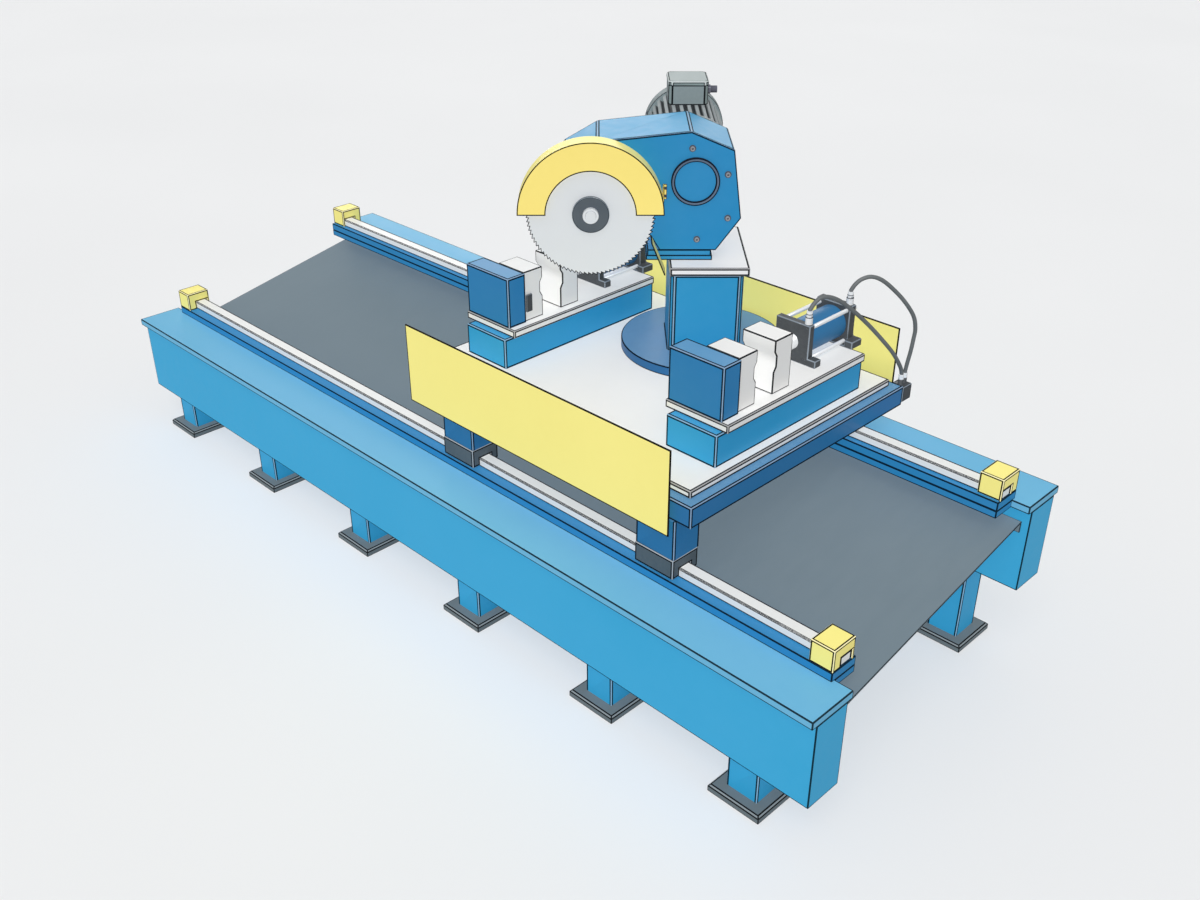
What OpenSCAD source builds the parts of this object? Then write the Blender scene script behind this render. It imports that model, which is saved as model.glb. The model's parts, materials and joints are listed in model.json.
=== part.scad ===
// Travelling cold saw on a twin-beam bed, with a swivelling head and two vises.
// X runs along the bed, Y from the low near beam to the high far beam, Z up.
// The origin lies on the floor below the middle of the bed.

/* [Bed] */
// Length of both bed beams
bed_len = 4200; // [3800:10:5000]
// Distance from the bed's middle to the outer face of each beam box
beam_out_y = 704; // [690:1:760]
// Width of each beam box
beam_w = 160; // [120:1:200]
// Height of each beam box
beam_h = 345.5; // [300:0.5:400]
// Wall of the beam boxes
beam_wall = 12; // [6:1:20]
// Height of the near beam's underside above the floor
beam_base_z = 168.5; // [120:0.5:240]
// How much higher the far beam and its rail lie
far_rise = 202.5; // [180:0.5:202.5]
// Thickness of the flange plate on each beam
flange_t = 30; // [20:1:40]
// Overhang of the flange plate on both sides of its box
flange_over = 25; // [5:1:40]

/* [Rails] */
// Half the length of the rail supports
support_half = 2029; // [1980:1:2090]
// Distance from the bed's middle to the inner edge of the rail supports
support_in_y = 411; // [405:1:420]
// Lap of the upper support plate on the beam flange
support_lap = 19; // [5:1:30]
// Thickness of the upper support plate
support_t = 35; // [30:1:40]
// Thickness of the lower support plate
lower_plate_t = 30; // [20:1:30]
// Distance of each rail's centre line from the bed's middle
rail_y = 465; // [462:1:468]
// Width of the rails
rail_w = 55; // [45:1:65]
// Height of the rails
rail_h = 36; // [30:1:36]
// Bevel on the upper edges of the rails
rail_bevel = 2; // [1:1:4]
// Distance of each rail end from its support's end
rail_inset = 4; // [2:1:10]
// Length of the end stops along the bed
stop_len = 93; // [60:1:120]
// Height of the end stops
stop_h = 87; // [70:1:100]
// Gap between an end stop's cut-out and the rail
stop_gap = 3; // [1:0.5:6]
// Distance of an end stop's inner face from the inner edge of its plate
stop_back = 13; // [8:1:20]

/* [Legs] */
// Number of legs below each beam
leg_count = 6; // [4:1:8]
// Distance between the legs
leg_pitch = 747; // [600:1:760]
// Radius of the drain holes in the hollow beams
drain_r = 12; // [8:1:20]
// Distance of the left end legs from the beam ends
leg_end = 261; // [200:1:300]
// Distance of the right end legs from the beam ends
leg_end_right = 273; // [200:1:300]
// Side of the square legs
leg_w = 130; // [90:1:150]
// Wall of the legs
leg_wall = 8; // [5:1:12]
// Side of the foot plates
foot_w = 220; // [180:1:260]
// Thickness of the foot plates
foot_t = 30; // [20:1:40]
// Bevel on the upper edge of the foot plates
foot_bevel = 8; // [2:1:15]

/* [Chip tray] */
// Thickness of the chip tray sheet
tray_t = 6; // [3:1:8]
// Half the length of the chip tray
tray_half = 2069; // [1950:1:2095]
// Height of the tray's low edge at the near beam
tray_low_z = 440; // [380:1:460]
// Height of the tray's high edge at the far beam
tray_high_z = 656; // [600:1:670]
// Height of the lips where the tray meets the beams
tray_lip = 40; // [20:1:50]

/* [Carriage] */
// Left end of the carriage frame
frame_x0 = -102; // [-160:1:-90]
// Length of the carriage frame
frame_len = 1517; // [1400:1:1700]
// Near face of the carriage frame
frame_y0 = -523; // [-530:1:-515]
// Far face of the carriage frame
frame_y1 = 734; // [720:1:760]
// Height of the frame's underside above the floor
frame_z = 820; // [820:0.5:826]
// Height of the carriage frame
frame_h = 83.5; // [80:0.5:95]
// Width of the near frame beam
frame_near_w = 110; // [80:1:120]
// Width of the far beam and of both end beams
frame_beam_w = 58; // [40:1:80]
// Gap between the frame's inner ribs and the hold-down ring
rib_gap = 4; // [2:1:20]
// Wall of the frame beams
frame_wall = 8; // [5:1:12]
// Inset of the table from the frame
table_inset = 41; // [20:1:44]
// Thickness of the table plate
table_t = 30; // [25:1:40]
// Length of the bearing blocks
block_len = 180; // [140:1:190]
// Width of the bearing blocks
block_w = 132; // [110:1:140]
// Height of the bearing blocks
block_h = 79; // [70:1:82]
// Gap between the bearing blocks and the rail supports
block_gap = 5; // [3:1:8]
// Place of the left blocks in the frame's left bay, from 0 at its left to 1 at its right
block_left = 0.8; // [0:0.01:1]
// Place of the right blocks in the frame's right bay, from 0 at its left to 1 at its right
block_right = 0.967; // [0:0.001:1]
// Step of the near posts behind the blocks' near faces
post_step = 4; // [0:1:8]
// Wall of the hollow near posts
post_wall = 12; // [6:1:20]
// Running gap between a block and its rail
rail_gap = 0.1; // [0.05:0.01:0.3]

/* [Guards] */
// Thickness of the sheet guards
guard_t = 5; // [3:1:8]
// Height of the sheet guards
guard_h = 335; // [280:1:360]
// Distance of the far guard's lower edge below the frame's underside
guard_drop = 34; // [10:1:60]
// Distance of the near guard's lower edge below the frame's underside
guard_near_drop = 48; // [30:1:60]
// Stand-off of the guards from the frame
guard_off = 25; // [15:1:30]
// Distance of both guards' left ends from the frame's left end
guard_in = 38; // [10:1:60]
// Distance of the near guard's right end from the frame's right end
guard_near_in = 72; // [65:1:120]
// Distance of the far guard's right end from the frame's right end
guard_far_in = 65; // [65:1:120]
// Radius of the guard spacers
spacer_r = 16; // [10:1:20]
// Distance of the outer spacers from the near guard's ends
spacer_end = 60; // [30:1:120]

/* [Vises] */
// Place of the left vise's centre line along the frame, as a part of its length
vise_left = 0.157; // [0.156:0.0005:0.158]
// Place of the right vise's centre line along the frame, as a part of its length
vise_right = 0.8715; // [0.87:0.0005:0.88]
// Width of the vise bases
vise_base_w = 230; // [200:1:250]
// Height of the vise bases
vise_base_h = 128; // [110:1:135]
// Near face of the vise bases
vise_base_y0 = -311; // [-330:1:-290]
// Far face of the vise bases
vise_base_y1 = 541; // [530:1:560]
// Left edge of the slide plates from the centre line
plate_x0 = -153; // [-160:1:-145]
// Right edge of the slide plates from the centre line
plate_x1 = 134; // [130:1:140]
// Near end of the slide plates
plate_y0 = -276; // [-285:1:-270]
// Far end of the slide plates
plate_y1 = 527; // [520:1:535]
// Thickness of the slide plates
plate_t = 32.5; // [25:0.5:40]
// Width of the fixed jaw blocks
jaw_block_w = 247; // [220:1:255]
// Left edge of the fixed jaw blocks from the centre line
jaw_block_x0 = -143; // [-150:1:-135]
// Depth of the fixed jaw blocks
jaw_block_d = 92; // [70:1:110]
// Height of the jaws above the slide plates
jaw_h = 207.5; // [190:0.5:207.5]
// Left edge of the jaw inserts from the centre line
insert_x0 = -53.5; // [-60:0.5:-45]
// Width of the jaw inserts
insert_w = 147; // [130:1:150]
// Depth of the fixed jaw inserts
insert_d = 98; // [80:1:99]
// Depth of the moving jaws
moving_d = 97; // [80:1:110]
// Opening between the jaws at rest
jaw_gap = 98.5; // [90:0.5:130]
// Height of the grip recess's middle above the slide plate
grip_z = 124; // [100:1:140]
// Height of the grip recess
grip_h = 79; // [50:1:90]
// Depth of the grip recess
grip_d = 12; // [5:1:16]
// Sliding gap below the moving jaws
jaw_clear = 0.3; // [0.1:0.05:0.5]

// Thickness of the key beside the left insert
key_t = 8; // [4:1:12]
// Width of the key
key_w = 29; // [20:1:40]
// Height of the key
key_h = 72; // [50:1:90]
// Distance of the key from the fixed jaw
key_y = 7; // [2:1:15]
// Height of the key above the slide plate
key_z = 40; // [30:1:60]

/* [Clamp cylinders] */
// Cylinder axis from the vise centre line
cyl_x = -32.5; // [-40:0.5:-25]
// Height of the cylinder axis above the slide plate
cyl_z = 80; // [72:1:90]
// Width of the cylinder end flanges
head_w = 155; // [145:1:160]
// Height of the cylinder end flanges
head_h = 160; // [150:1:165]
// Near face of the front end flange
head_y = 280; // [260:1:290]
// Thickness of the front end flange
head_front_t = 30; // [25:1:35]
// Thickness of the rear end flange
head_rear_t = 40; // [30:1:45]
// Length of the cylinder barrel
barrel_len = 220; // [215:1:225]
// Outer radius of the cylinder barrel
barrel_r = 66; // [60:1:70]
// Bore radius of the cylinder barrel
barrel_bore_r = 55; // [40:1:58]
// Radius of the piston rod
rod_r = 30; // [20:1:36]
// Thickness of the piston
piston_t = 30; // [20:1:32]
// Distance of the piston from the front end flange at rest
piston_y = 85; // [82:1:88]
// Radius of the tie rods
tie_r = 8; // [5:1:9]
// Distance of the tie rods from the cylinder axis, across and up
tie_off = 62; // [58:1:66]
// Radius of the port fittings
port_r = 17; // [12:1:18]
// Height of the port fittings
port_h = 30; // [20:1:34]
// Height of the dark collars on the port fittings
collar_h = 12; // [8:1:14]
// Distance of the ports from the cylinder axis
port_x = 59; // [50:1:60]
// Length of the mounting lugs beside the flanges
lug_len = 35; // [20:1:60]
// Height of the mounting lugs
lug_h = 30; // [20:1:40]
// Lap of the rear flange's foot on the slide plate
lug_lap = 14; // [8:1:20]
// Height of the rear flange's foot below the cylinder
lug_foot = 8; // [5:1:8]
// Length by which the lugs stand out behind their flanges
lug_tail = 8; // [4:1:12]

/* [Swivel] */
// Place of the swivel axis along the frame, as a part of its length
swivel_part = 0.491; // [0.49:0.0005:0.492]
// Swivel axis across the bed
swivel_y = 414; // [410:1:418]
// Angle of the saw blade to the bed in the drawn position
mitre = 45; // [45]
// Radius of the turntable disc
disc_r = 330; // [290:1:340]
// Thickness of the turntable disc
disc_t = 39; // [30:1:45]
// Running gap below the turntable disc
swivel_gap = 0.3; // [0.1:0.05:0.5]
// Radius of the swivel hub in the table
hub_r = 232; // [225:1:240]
// Radial clearance of the swivel hub in the table
hub_clear = 0.08; // [0.02:0.01:0.1]
// Outer radius of the hold-down ring
ring_r = 259; // [250:1:260]
// Thickness of the hold-down ring
ring_t = 24; // [15:1:30]
// Thickness of the hub's floor
floor_t = 12; // [8:1:12]
// Height of the hub's underside above the frame's underside
hub_lift = 1; // [1:0.5:3]

/* [Column] */
// Side of the square column
column_w = 290; // [285:1:300]
// Bevel on the column's corners
column_bevel = 18; // [12:1:24]
// Wall of the hollow column
column_wall = 26; // [20:1:30]
// Height of the column's top above the table
column_top = 361; // [361:0.5:365]
// Depth by which the column dips into the turntable at rest
column_dip = 8; // [4:1:9]
// Sliding gap round the column
column_clear = 0.2; // [0.1:0.05:0.3]
// Bevel on the guide post's corners
post_bevel = 12; // [6:1:20]
// Gap above the guide post at the end of the feed
post_gap = 10; // [5:1:20]
// Downward feed of the saw head
feed = 130; // [100:1:130]
// Radius of the feed cylinder
feed_r = 60; // [45:1:70]
// Wall of the feed cylinder
feed_wall = 10; // [6:1:12]
// Floor of the feed cylinder
feed_floor = 20; // [12:1:30]
// Gap above the feed cylinder at the end of the feed
feed_gap = 12; // [5:1:20]
// Radius of the feed cylinder's rod
feed_rod_r = 30; // [20:1:32]
// Thickness of the feed piston
feed_piston_t = 40; // [20:1:60]
// Gap below the feed piston at the end of the feed
feed_rest = 10; // [5:1:20]
// Left edge of the column's cap plate from the swivel axis
cap_x0 = -147; // [-150:1:-140]
// Right edge of the column's cap plate from the swivel axis
cap_x1 = 164; // [160:1:170]
// Near edge of the cap plate from the swivel axis
cap_y0 = -152; // [-158:1:-145]
// Far edge of the cap plate from the swivel axis
cap_y1 = 322; // [300:1:330]
// Thickness of the cap plate
cap_t = 32.5; // [25:0.5:40]
// Left edge of the sole plates from the swivel axis
sole_x0 = -237; // [-240:1:-225]
// Right edge of the sole plates from the swivel axis
sole_x1 = 22; // [0:1:40]
// Thickness of each sole plate
sole_t = 20.5; // [15:0.5:25]
// Width of the shadow gap between the sole plates
sole_step = 5; // [2:1:10]

/* [Gear housing] */
// Distance of the housing's front face from the swivel axis
house_front = 62; // [55:1:70]
// Distance of the housing's back face from the swivel axis
house_back = 240; // [230:1:250]
// Wall of the housing
house_wall = 12; // [8:1:12]
// Thickness of the housing's front plate
house_plate_t = 14; // [10:1:16]
// Outer radius of the round cover
cover_r = 93; // [85:1:100]
// Radius of the round cover's recessed face
cover_face_r = 77; // [65:1:82]
// Height of the round cover
cover_h = 12; // [8:1:18]
// Recess of the round cover's face
cover_recess = 7; // [3:1:9]
// Wall left behind the blind bores of the gear shafts
bore_end = 4; // [3:1:6]
// Gap between a shaft and the end of its blind bore
shaft_end = 1; // [0.5:0.5:2]
// Thickness of the housing bolts' washers
bolt_washer_t = 3; // [2:0.5:5]
// Height of the housing bolts' heads
bolt_head_t = 7; // [5:1:10]
// Radius of the housing bolts' washers
bolt_washer_r = 13; // [11:1:16]
// Radius across the housing bolts' heads
bolt_head_r = 9; // [7:1:10]
// Motor axis to the left of the swivel axis
motor_x = -54.5; // [-56:0.5:-53]
// Motor axis above the sole plates
motor_z = 276; // [275:0.5:278]
// Blade axis to the left of the swivel axis
blade_x = -452.5; // [-454:0.5:-451]
// Blade axis above the sole plates
blade_z = 169; // [168:0.5:170]

/* [Blade] */
// Radius of the saw blade over its teeth
blade_r = 248; // [235:1:250]
// Thickness of the saw blade
blade_t = 5; // [3:0.5:6]
// Number of saw teeth
blade_teeth = 90; // [60:2:120]
// Depth of the saw teeth
tooth_d = 9; // [6:1:12]
// Distance of the blade's back face from the swivel axis
blade_y = 119.5; // [115:0.5:124]
// Radius of the blade flanges
flange_r = 71; // [60:1:80]
// Thickness of the outer blade flange
flange_out_t = 15; // [10:1:20]
// Thickness of the inner blade flange
flange_in_t = 28; // [20:1:30]
// Radius of the spindle
spindle_r = 35; // [30:1:38]
// Radius of the spindle nose in the blade
nose_r = 20; // [15:1:25]
// Radius of the spindle nut
nut_r = 31; // [26:1:36]
// Height of the spindle nut
nut_h = 12; // [8:1:20]
// Length by which the spindle stands out of its nut
nose_out = 4; // [2:1:8]
// Gap between the blade flange and the guard's back sheet
back_gap = 12; // [5:1:20]
// Outer radius of the blade guard
guard_r = 280; // [265:1:285]
// Radius of the window in the guard's front
guard_window_r = 171; // [140:1:185]
// Sheet thickness of the blade guard
shield_t = 5; // [3:1:6]
// Depth of the blade guard
shield_d = 84; // [80:1:90]
// Upper end of the deflector, left of the swivel axis
deflect_x1 = -216; // [-218:1:-214]
// Upper end of the deflector above the sole plates
deflect_z1 = 58; // [40:1:58]
// Lower end of the deflector, left of the swivel axis
deflect_x0 = -163; // [-170:1:-160]
// Lower end of the deflector below the sole plates
deflect_z0 = 71; // [60:1:80]
// Width of the deflector
deflect_w = 86; // [60:1:90]

/* [Gears] */
// Module of the spur gears
gear_m = 5; // [5]
// Teeth of the motor pinion
pinion_teeth = 14; // [14]
// Teeth of the intermediate wheel
idler_teeth = 62; // [62]
// Teeth of the spindle wheel
wheel_teeth = 28; // [28]
// Face width of the gears
gear_w = 40; // [30:1:60]
// Running clearance of shafts in their bores
shaft_clear = 0.05; // [0.02:0.01:0.1]

/* [Motor] */
// Outer radius over the motor's cooling ribs
motor_r = 160; // [150:1:165]
// Depth of the cooling ribs
rib_h = 16; // [8:1:20]
// Number of cooling ribs
rib_count = 32; // [20:1:40]
// Width of a cooling rib
rib_w = 16; // [10:1:17]
// Length of the motor body behind the housing
motor_len = 455; // [440:1:470]
// Thickness of the motor's mounting flange
motor_flange_t = 22; // [15:1:30]
// Radius of the motor's mounting flange
motor_flange_r = 168; // [163:1:175]
// Radius of the rotor
rotor_r = 92; // [70:1:100]
// Radius of the motor shaft
shaft_r = 24; // [18:1:26]
// Radius of the fan cowl
cowl_r = 169; // [165:1:175]
// Length of the fan cowl
cowl_len = 70; // [60:1:80]
// Radius of the air holes in the fan cowl
cowl_hole_r = 9; // [6:1:11]
// How much smaller than the motor the opening in the cowl's front is
cowl_mouth = 30; // [20:1:40]
// Wall of the fan cowl
cowl_wall = 4; // [3:1:6]
// Number of holes in each ring of the fan cowl
cowl_holes = 16; // [8:1:18]
// Number of fan blades
fan_blades = 8; // [5:1:12]
// Distance of the fan from the cowl's end
fan_end = 16; // [12:1:20]
// Width of the fan along its axis
fan_w = 32; // [20:1:34]
// Radius of the fan's hub
fan_hub_r = 40; // [30:1:50]
// Thickness of the fan's blades
fan_t = 6; // [3:1:8]
// Gap between the fan and the cowl
fan_gap = 12; // [5:1:20]
// Thickness of the motor's rear end shield
motor_end_t = 22; // [15:1:30]
// Gap between the rotor and both end shields
rotor_gap = 6; // [3:1:10]
// Left edge of the terminal box from the swivel axis
tbox_x0 = -138.5; // [-145:0.5:-130]
// Width of the terminal box
tbox_w = 162; // [150:1:170]
// Length of the terminal box along the motor
tbox_len = 175; // [160:1:185]
// Distance of the terminal box behind the housing
tbox_y = 195; // [190:1:205]
// Height of the terminal box
tbox_h = 79.5; // [75:0.5:85]
// Bevel along the terminal box's upright corners
tbox_bevel = 15; // [10:1:20]
// Wall of the terminal box
tbox_wall = 6; // [3:1:10]
// Thickness of the terminal box lid
lid_t = 16; // [10:1:25]
// Overhang of the terminal box lid
lid_over = 2; // [1:1:4]
// Radius of the cable gland
gland_r = 19; // [15:1:22]
// Length of the cable gland
gland_len = 42; // [30:1:60]

/* [Hoses] */
// Radius of the hoses
hose_r = 8; // [6:1:9]
// Height of the connection block
manifold_h = 66; // [50:1:80]
// Length of the connection block
manifold_len = 60; // [50:1:62]
// Width of the connection block
manifold_w = 62; // [60:1:64]
// Depth of the connection block's top below the frame's top
manifold_drop = 8; // [2:1:20]
// Distance of the hose ends from the middle of the block, towards and away from the frame
manifold_near = 8; // [4:1:12]
manifold_far = 16; // [12:1:18]
// Height of the hose ferrules
ferrule_h = 22; // [10:1:30]
// Radius of the hose ferrules
ferrule_r = 12; // [10:1:14]

/* [Hidden] */
$fn = 64;

// Bed levels and edges
beam_in_y = beam_out_y - beam_w;
flange_in_y = beam_in_y - flange_over;
beam_top = beam_base_z + beam_h;
deck_z = beam_top + flange_t;
support_z = deck_z + support_t;
rail_top = support_z + rail_h;
block_z = support_z + block_gap;
post_z = block_z + block_h;

// Carriage levels and edges
frame_x1 = frame_x0 + frame_len;
swivel_x = frame_x0 + swivel_part * frame_len;
left_vise_x = frame_x0 + vise_left * frame_len;
right_vise_x = frame_x0 + vise_right * frame_len;
table_z = frame_z + frame_h;
top_z = table_z + table_t;
near_post_h = frame_z - post_z;
far_post_h = table_z - post_z - far_rise;
rib_left_x = swivel_x - ring_r - rib_gap;
rib_right_x = swivel_x + ring_r + rib_gap;
rib_y0 = frame_y0 + frame_near_w - frame_wall / 2;
rib_y1 = frame_y1 - frame_beam_w + frame_wall / 2;
left_bay_x = frame_x0 + frame_beam_w;
left_bay = rib_left_x - frame_beam_w - left_bay_x;
right_bay_x = rib_right_x + frame_beam_w;
right_bay = frame_x1 - frame_beam_w - right_bay_x;
block_xs = [left_bay_x + block_left * (left_bay - block_len),
  right_bay_x + block_right * (right_bay - block_len)];
guard_x0 = frame_x0 + guard_in;
guard_near_len = frame_x1 - guard_near_in - guard_x0;
guard_far_len = frame_x1 - guard_far_in - guard_x0;

// Vise levels and edges
plate_z = top_z + vise_base_h;
jaw_z = plate_z + plate_t;
fixed_y = plate_y0 + jaw_block_d;
insert_y = fixed_y + insert_d;
moving_y = insert_y + jaw_gap;
moving_back = moving_y + moving_d;
head_top = jaw_z + head_h;
barrel_y = head_y + head_front_t;
rear_y = barrel_y + barrel_len;
axis_z = jaw_z + cyl_z;
port_z = head_top;
port_y1 = head_y + head_front_t / 2;
port_y2 = rear_y + head_rear_t / 2;

// Head levels and edges
disc_z = top_z + swivel_gap;
disc_top = disc_z + disc_t;
hub_z = frame_z + hub_lift;
floor_z = hub_z + floor_t;
column_z = disc_top - column_dip;
cap_z = top_z + column_top;
column_in = column_w - 2 * column_wall;
post_w = column_in - 2 * column_clear;
piston_z = floor_z + feed_floor + feed + feed_rest;
sole_z = cap_z + cap_t;
house_z = sole_z + 2 * sole_t;
shaft_z = house_z + motor_z;
saw_z = house_z + blade_z;
motor_y = house_back;
cowl_y = motor_y + motor_len;

// Gear positions: the intermediate wheel meshes with both others
gear_axis_d = norm([blade_x - motor_x, saw_z - shaft_z]);
mesh_1 = gear_m * (pinion_teeth + idler_teeth) / 2;
mesh_2 = gear_m * (idler_teeth + wheel_teeth) / 2;
idler_along = (gear_axis_d * gear_axis_d + mesh_1 * mesh_1 - mesh_2 * mesh_2) / (2 * gear_axis_d);
idler_aside = sqrt(mesh_1 * mesh_1 - idler_along * idler_along);
gear_dir = [(blade_x - motor_x) / gear_axis_d, (saw_z - shaft_z) / gear_axis_d];
idler_x = motor_x + gear_dir[0] * idler_along + gear_dir[1] * idler_aside;
idler_z = shaft_z + gear_dir[1] * idler_along - gear_dir[0] * idler_aside;

// Housing outline, as x and height above the sole plates
outline = [[sole_x1 + 13, 0], [127, 129], [90, 395], [-74, 464], [-427, 427], [-560, 350],
  [-585, 290], [-580, 150], [-520, 82], [-400, 71], [-300, 71], [-220, 56], [-185, 0]];
inner_outline = inset(outline, house_wall);

// Ends of the two hoses, on the right vise's ports and on the connection block
hose_x1 = right_vise_x + cyl_x + port_x;
hose_top_z = port_z + port_h + collar_h;
manifold_x = frame_x1 - manifold_len;
manifold_z = table_z - manifold_drop;
hose_end_x = manifold_x + manifold_len / 2;
hose_end_z = manifold_z + ferrule_h;
front_start = [hose_x1, port_y1, hose_top_z];
front_end = [hose_end_x, frame_y1 + manifold_w / 2 - manifold_near, hose_end_z];
rear_start = [hose_x1, port_y2, hose_top_z];
rear_end = [hose_end_x, frame_y1 + manifold_w / 2 + manifold_far, hose_end_z];
// Way of each hose, as parts of the way from its start to its end along the bed, across it and down
front_way = [[0, 0, -0.037], [0.045, 0.05, -0.111], [0.13, 0.122, -0.143], [0.26, 0.248, -0.082],
  [0.43, 0.415, 0.079], [0.6, 0.578, 0.27], [0.76, 0.738, 0.478], [0.9, 0.877, 0.676], [0.98, 0.975, 0.856],
  [1, 1, 0.941]];
rear_way = [[0, 0, -0.042], [0.06, 0.043, -0.1], [0.155, 0.13, -0.151], [0.3, 0.268, -0.169],
  [0.48, 0.428, -0.124], [0.69, 0.632, -0.003], [0.9, 0.823, 0.145], [1.06, 0.974, 0.304],
  [1.105, 1.035, 0.449], [1.09, 1.035, 0.571], [1.07, 1.02, 0.703], [1.03, 1.005, 0.835], [1, 1, 0.941]];
function hose_way(a, b, way) = [for (f = way) [for (i = [0:2]) a[i] + (b[i] - a[i]) * f[i]]];

// Line through two neighbouring corners, moved inwards by d
function shifted(p, q, d) = let (n = [q[1] - p[1], p[0] - q[0]] / norm(q - p)) [p - n * d, q - n * d];
function cross2(a, b) = a[0] * b[1] - a[1] * b[0];
function meet(l, m) = let (r = l[1] - l[0], s = m[1] - m[0]) l[0] + r * cross2(m[0] - l[0], s) / cross2(r, s);
function inset(pts, d) = let (n = len(pts)) [for (i = [0:n - 1])
  meet(shifted(pts[(i + n - 1) % n], pts[i], d), shifted(pts[i], pts[(i + 1) % n], d))];

// Sweep of a round tube along a route: each ring lies across the route there
function unit(v) = v / norm(v);
function along(p, i) = i == 0 ? unit(p[1] - p[0])
  : i == len(p) - 1 ? unit(p[i] - p[i - 1]) : unit(unit(p[i + 1] - p[i]) + unit(p[i] - p[i - 1]));
function flat(v, t) = unit(v - t * (v * t));
function frames(p, i, v) = let (t = along(p, i), w = flat(v, t))
  i == len(p) - 1 ? [w] : concat([w], frames(p, i + 1, w));
function ring_at(c, t, u, r, n) = let (w = cross(t, u))
  [for (k = [0:n - 1]) c + r * (cos(360 * k / n) * u + sin(360 * k / n) * w)];
module tube(p, r, n) {
  us = frames(p, 0, [1, 0, 0]);
  points = [for (i = [0:len(p) - 1]) each ring_at(p[i], along(p, i), us[i], r, n)];
  m = len(p) - 1;
  side_a = [for (i = [0:m - 1], k = [0:n - 1]) [i * n + k, i * n + (k + 1) % n, (i + 1) * n + k]];
  side_b = [for (i = [0:m - 1], k = [0:n - 1])
    [i * n + (k + 1) % n, (i + 1) * n + (k + 1) % n, (i + 1) * n + k]];
  cap_a = [for (k = [1:n - 2]) [0, k + 1, k]];
  cap_b = [for (k = [1:n - 2]) [m * n, m * n + k, m * n + k + 1]];
  polyhedron(points, [for (f = concat(side_a, side_b, cap_a, cap_b)) [f[0], f[2], f[1]]]);
}
// Catmull-Rom points between the chosen ones
function spline(p, n) = concat([for (i = [0:len(p) - 2], k = [0:n - 1]) let (
    a = p[max(i - 1, 0)], b = p[i], c = p[i + 1], d = p[min(i + 2, len(p) - 1)], t = k / n)
    0.5 * (2 * b + (c - a) * t + (2 * a - 5 * b + 4 * c - d) * t * t + (3 * b - a - 3 * c + d) * t * t * t)],
  [p[len(p) - 1]]);

// Box from its lower corner to its upper corner
module box(a, b) translate(a) cube(b - a);
// Closed hollow beam with a drain hole in its underside
module hollow_beam(a, b, wall) difference() {
  box(a, b);
  box([a[0] + wall, a[1] + wall, a[2] + wall], [b[0] - wall, b[1] - wall, b[2] - wall]);
  translate([(a[0] + b[0]) / 2, (a[1] + b[1]) / 2, a[2] - 1]) cylinder(h = wall + 2, r = drain_r);
}
// Near side as drawn and far side mirrored and raised
module both_sides() {
  children();
  translate([0, 0, far_rise]) mirror([0, 1, 0]) children();
}
module at_vises() for (x = [left_vise_x, right_vise_x]) translate([x, 0, 0]) children();
// Head frame: x to the head's right, y away from the blade's front
module head() translate([swivel_x, swivel_y, 0]) rotate([0, 0, mitre]) children();
// Cylinder along the head's y axis, from y0 to y1
module rod_y(r, y0, y1) translate([0, y1, 0]) rotate([90, 0, 0]) cylinder(h = y1 - y0, r = r);
module square_prism(w, bevel, z0, z1) translate([0, 0, z0]) linear_extrude(z1 - z0)
  polygon(let (h = w / 2, k = h - bevel)
    [[k, -h], [h, -k], [h, k], [k, h], [-k, h], [-h, k], [-h, -k], [-k, -h]]);
// Outline plate of the housing between two distances from the swivel axis
module house_slab(pts, y0, y1) translate([0, y1, house_z])
  rotate([90, 0, 0]) linear_extrude(y1 - y0) polygon(pts);
module at_motor() translate([motor_x, 0, shaft_z]) children();
module at_saw() translate([blade_x, 0, saw_z]) children();
module at_idler() translate([idler_x, 0, idler_z]) children();

// Spur gear along the head's y axis, turned so that a tooth lies at the given angle
function tooth(z, i, turn) = let (c = turn + 360 * i / z, p = gear_m * z / 2, s = 360 / z)
  [for (k = [[p - 1.2 * gear_m, -0.30], [p, -0.22], [p + 0.85 * gear_m, -0.11],
    [p + 0.85 * gear_m, 0.11], [p, 0.22], [p - 1.2 * gear_m, 0.30]])
    k[0] * [cos(c + k[1] * s), sin(c + k[1] * s)]];
module gear(z, turn) translate([0, gear_w / 2, 0]) rotate([90, 0, 0]) linear_extrude(gear_w)
  polygon([for (i = [0:z - 1]) each tooth(z, i, turn)]);
line_1 = atan2(idler_z - shaft_z, idler_x - motor_x);
line_2 = atan2(saw_z - idler_z, blade_x - idler_x);
idler_turn = line_1 + 180 + 180 / idler_teeth;
// Part of a tooth pitch by which the intermediate wheel's teeth miss the line to the spindle
miss = (line_2 - idler_turn) * idler_teeth / 360 - floor((line_2 - idler_turn) * idler_teeth / 360);
wheel_turn = line_2 + 180 + (1 + 2 * miss) * 180 / wheel_teeth;

// Bed
module near_beam() color([0.27, 0.64, 0.82])
  hollow_beam([-bed_len / 2, -beam_out_y, beam_base_z], [bed_len / 2, -beam_in_y, beam_top], beam_wall);
module far_beam() color([0.27, 0.64, 0.82]) translate([0, 0, far_rise])
  hollow_beam([-bed_len / 2, beam_in_y, beam_base_z], [bed_len / 2, beam_out_y, beam_top], beam_wall);
module beam_flanges() color([0.47, 0.75, 0.87]) both_sides()
  box([-bed_len / 2, -beam_out_y - flange_over, beam_top], [bed_len / 2, -flange_in_y, deck_z]);
module lower_plates() color([0.18, 0.45, 0.67]) both_sides()
  box([-support_half, -flange_in_y, deck_z - lower_plate_t], [support_half, -support_in_y, deck_z]);
module upper_plates() color([0.18, 0.45, 0.67]) both_sides()
  box([-support_half, -flange_in_y - support_lap, deck_z], [support_half, -support_in_y, support_z]);
module rails() color([0.9, 0.91, 0.92]) both_sides()
  translate([-support_half + rail_inset, -rail_y, support_z]) rotate([90, 0, 90])
  linear_extrude(2 * (support_half - rail_inset)) polygon(rail_profile());
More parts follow.
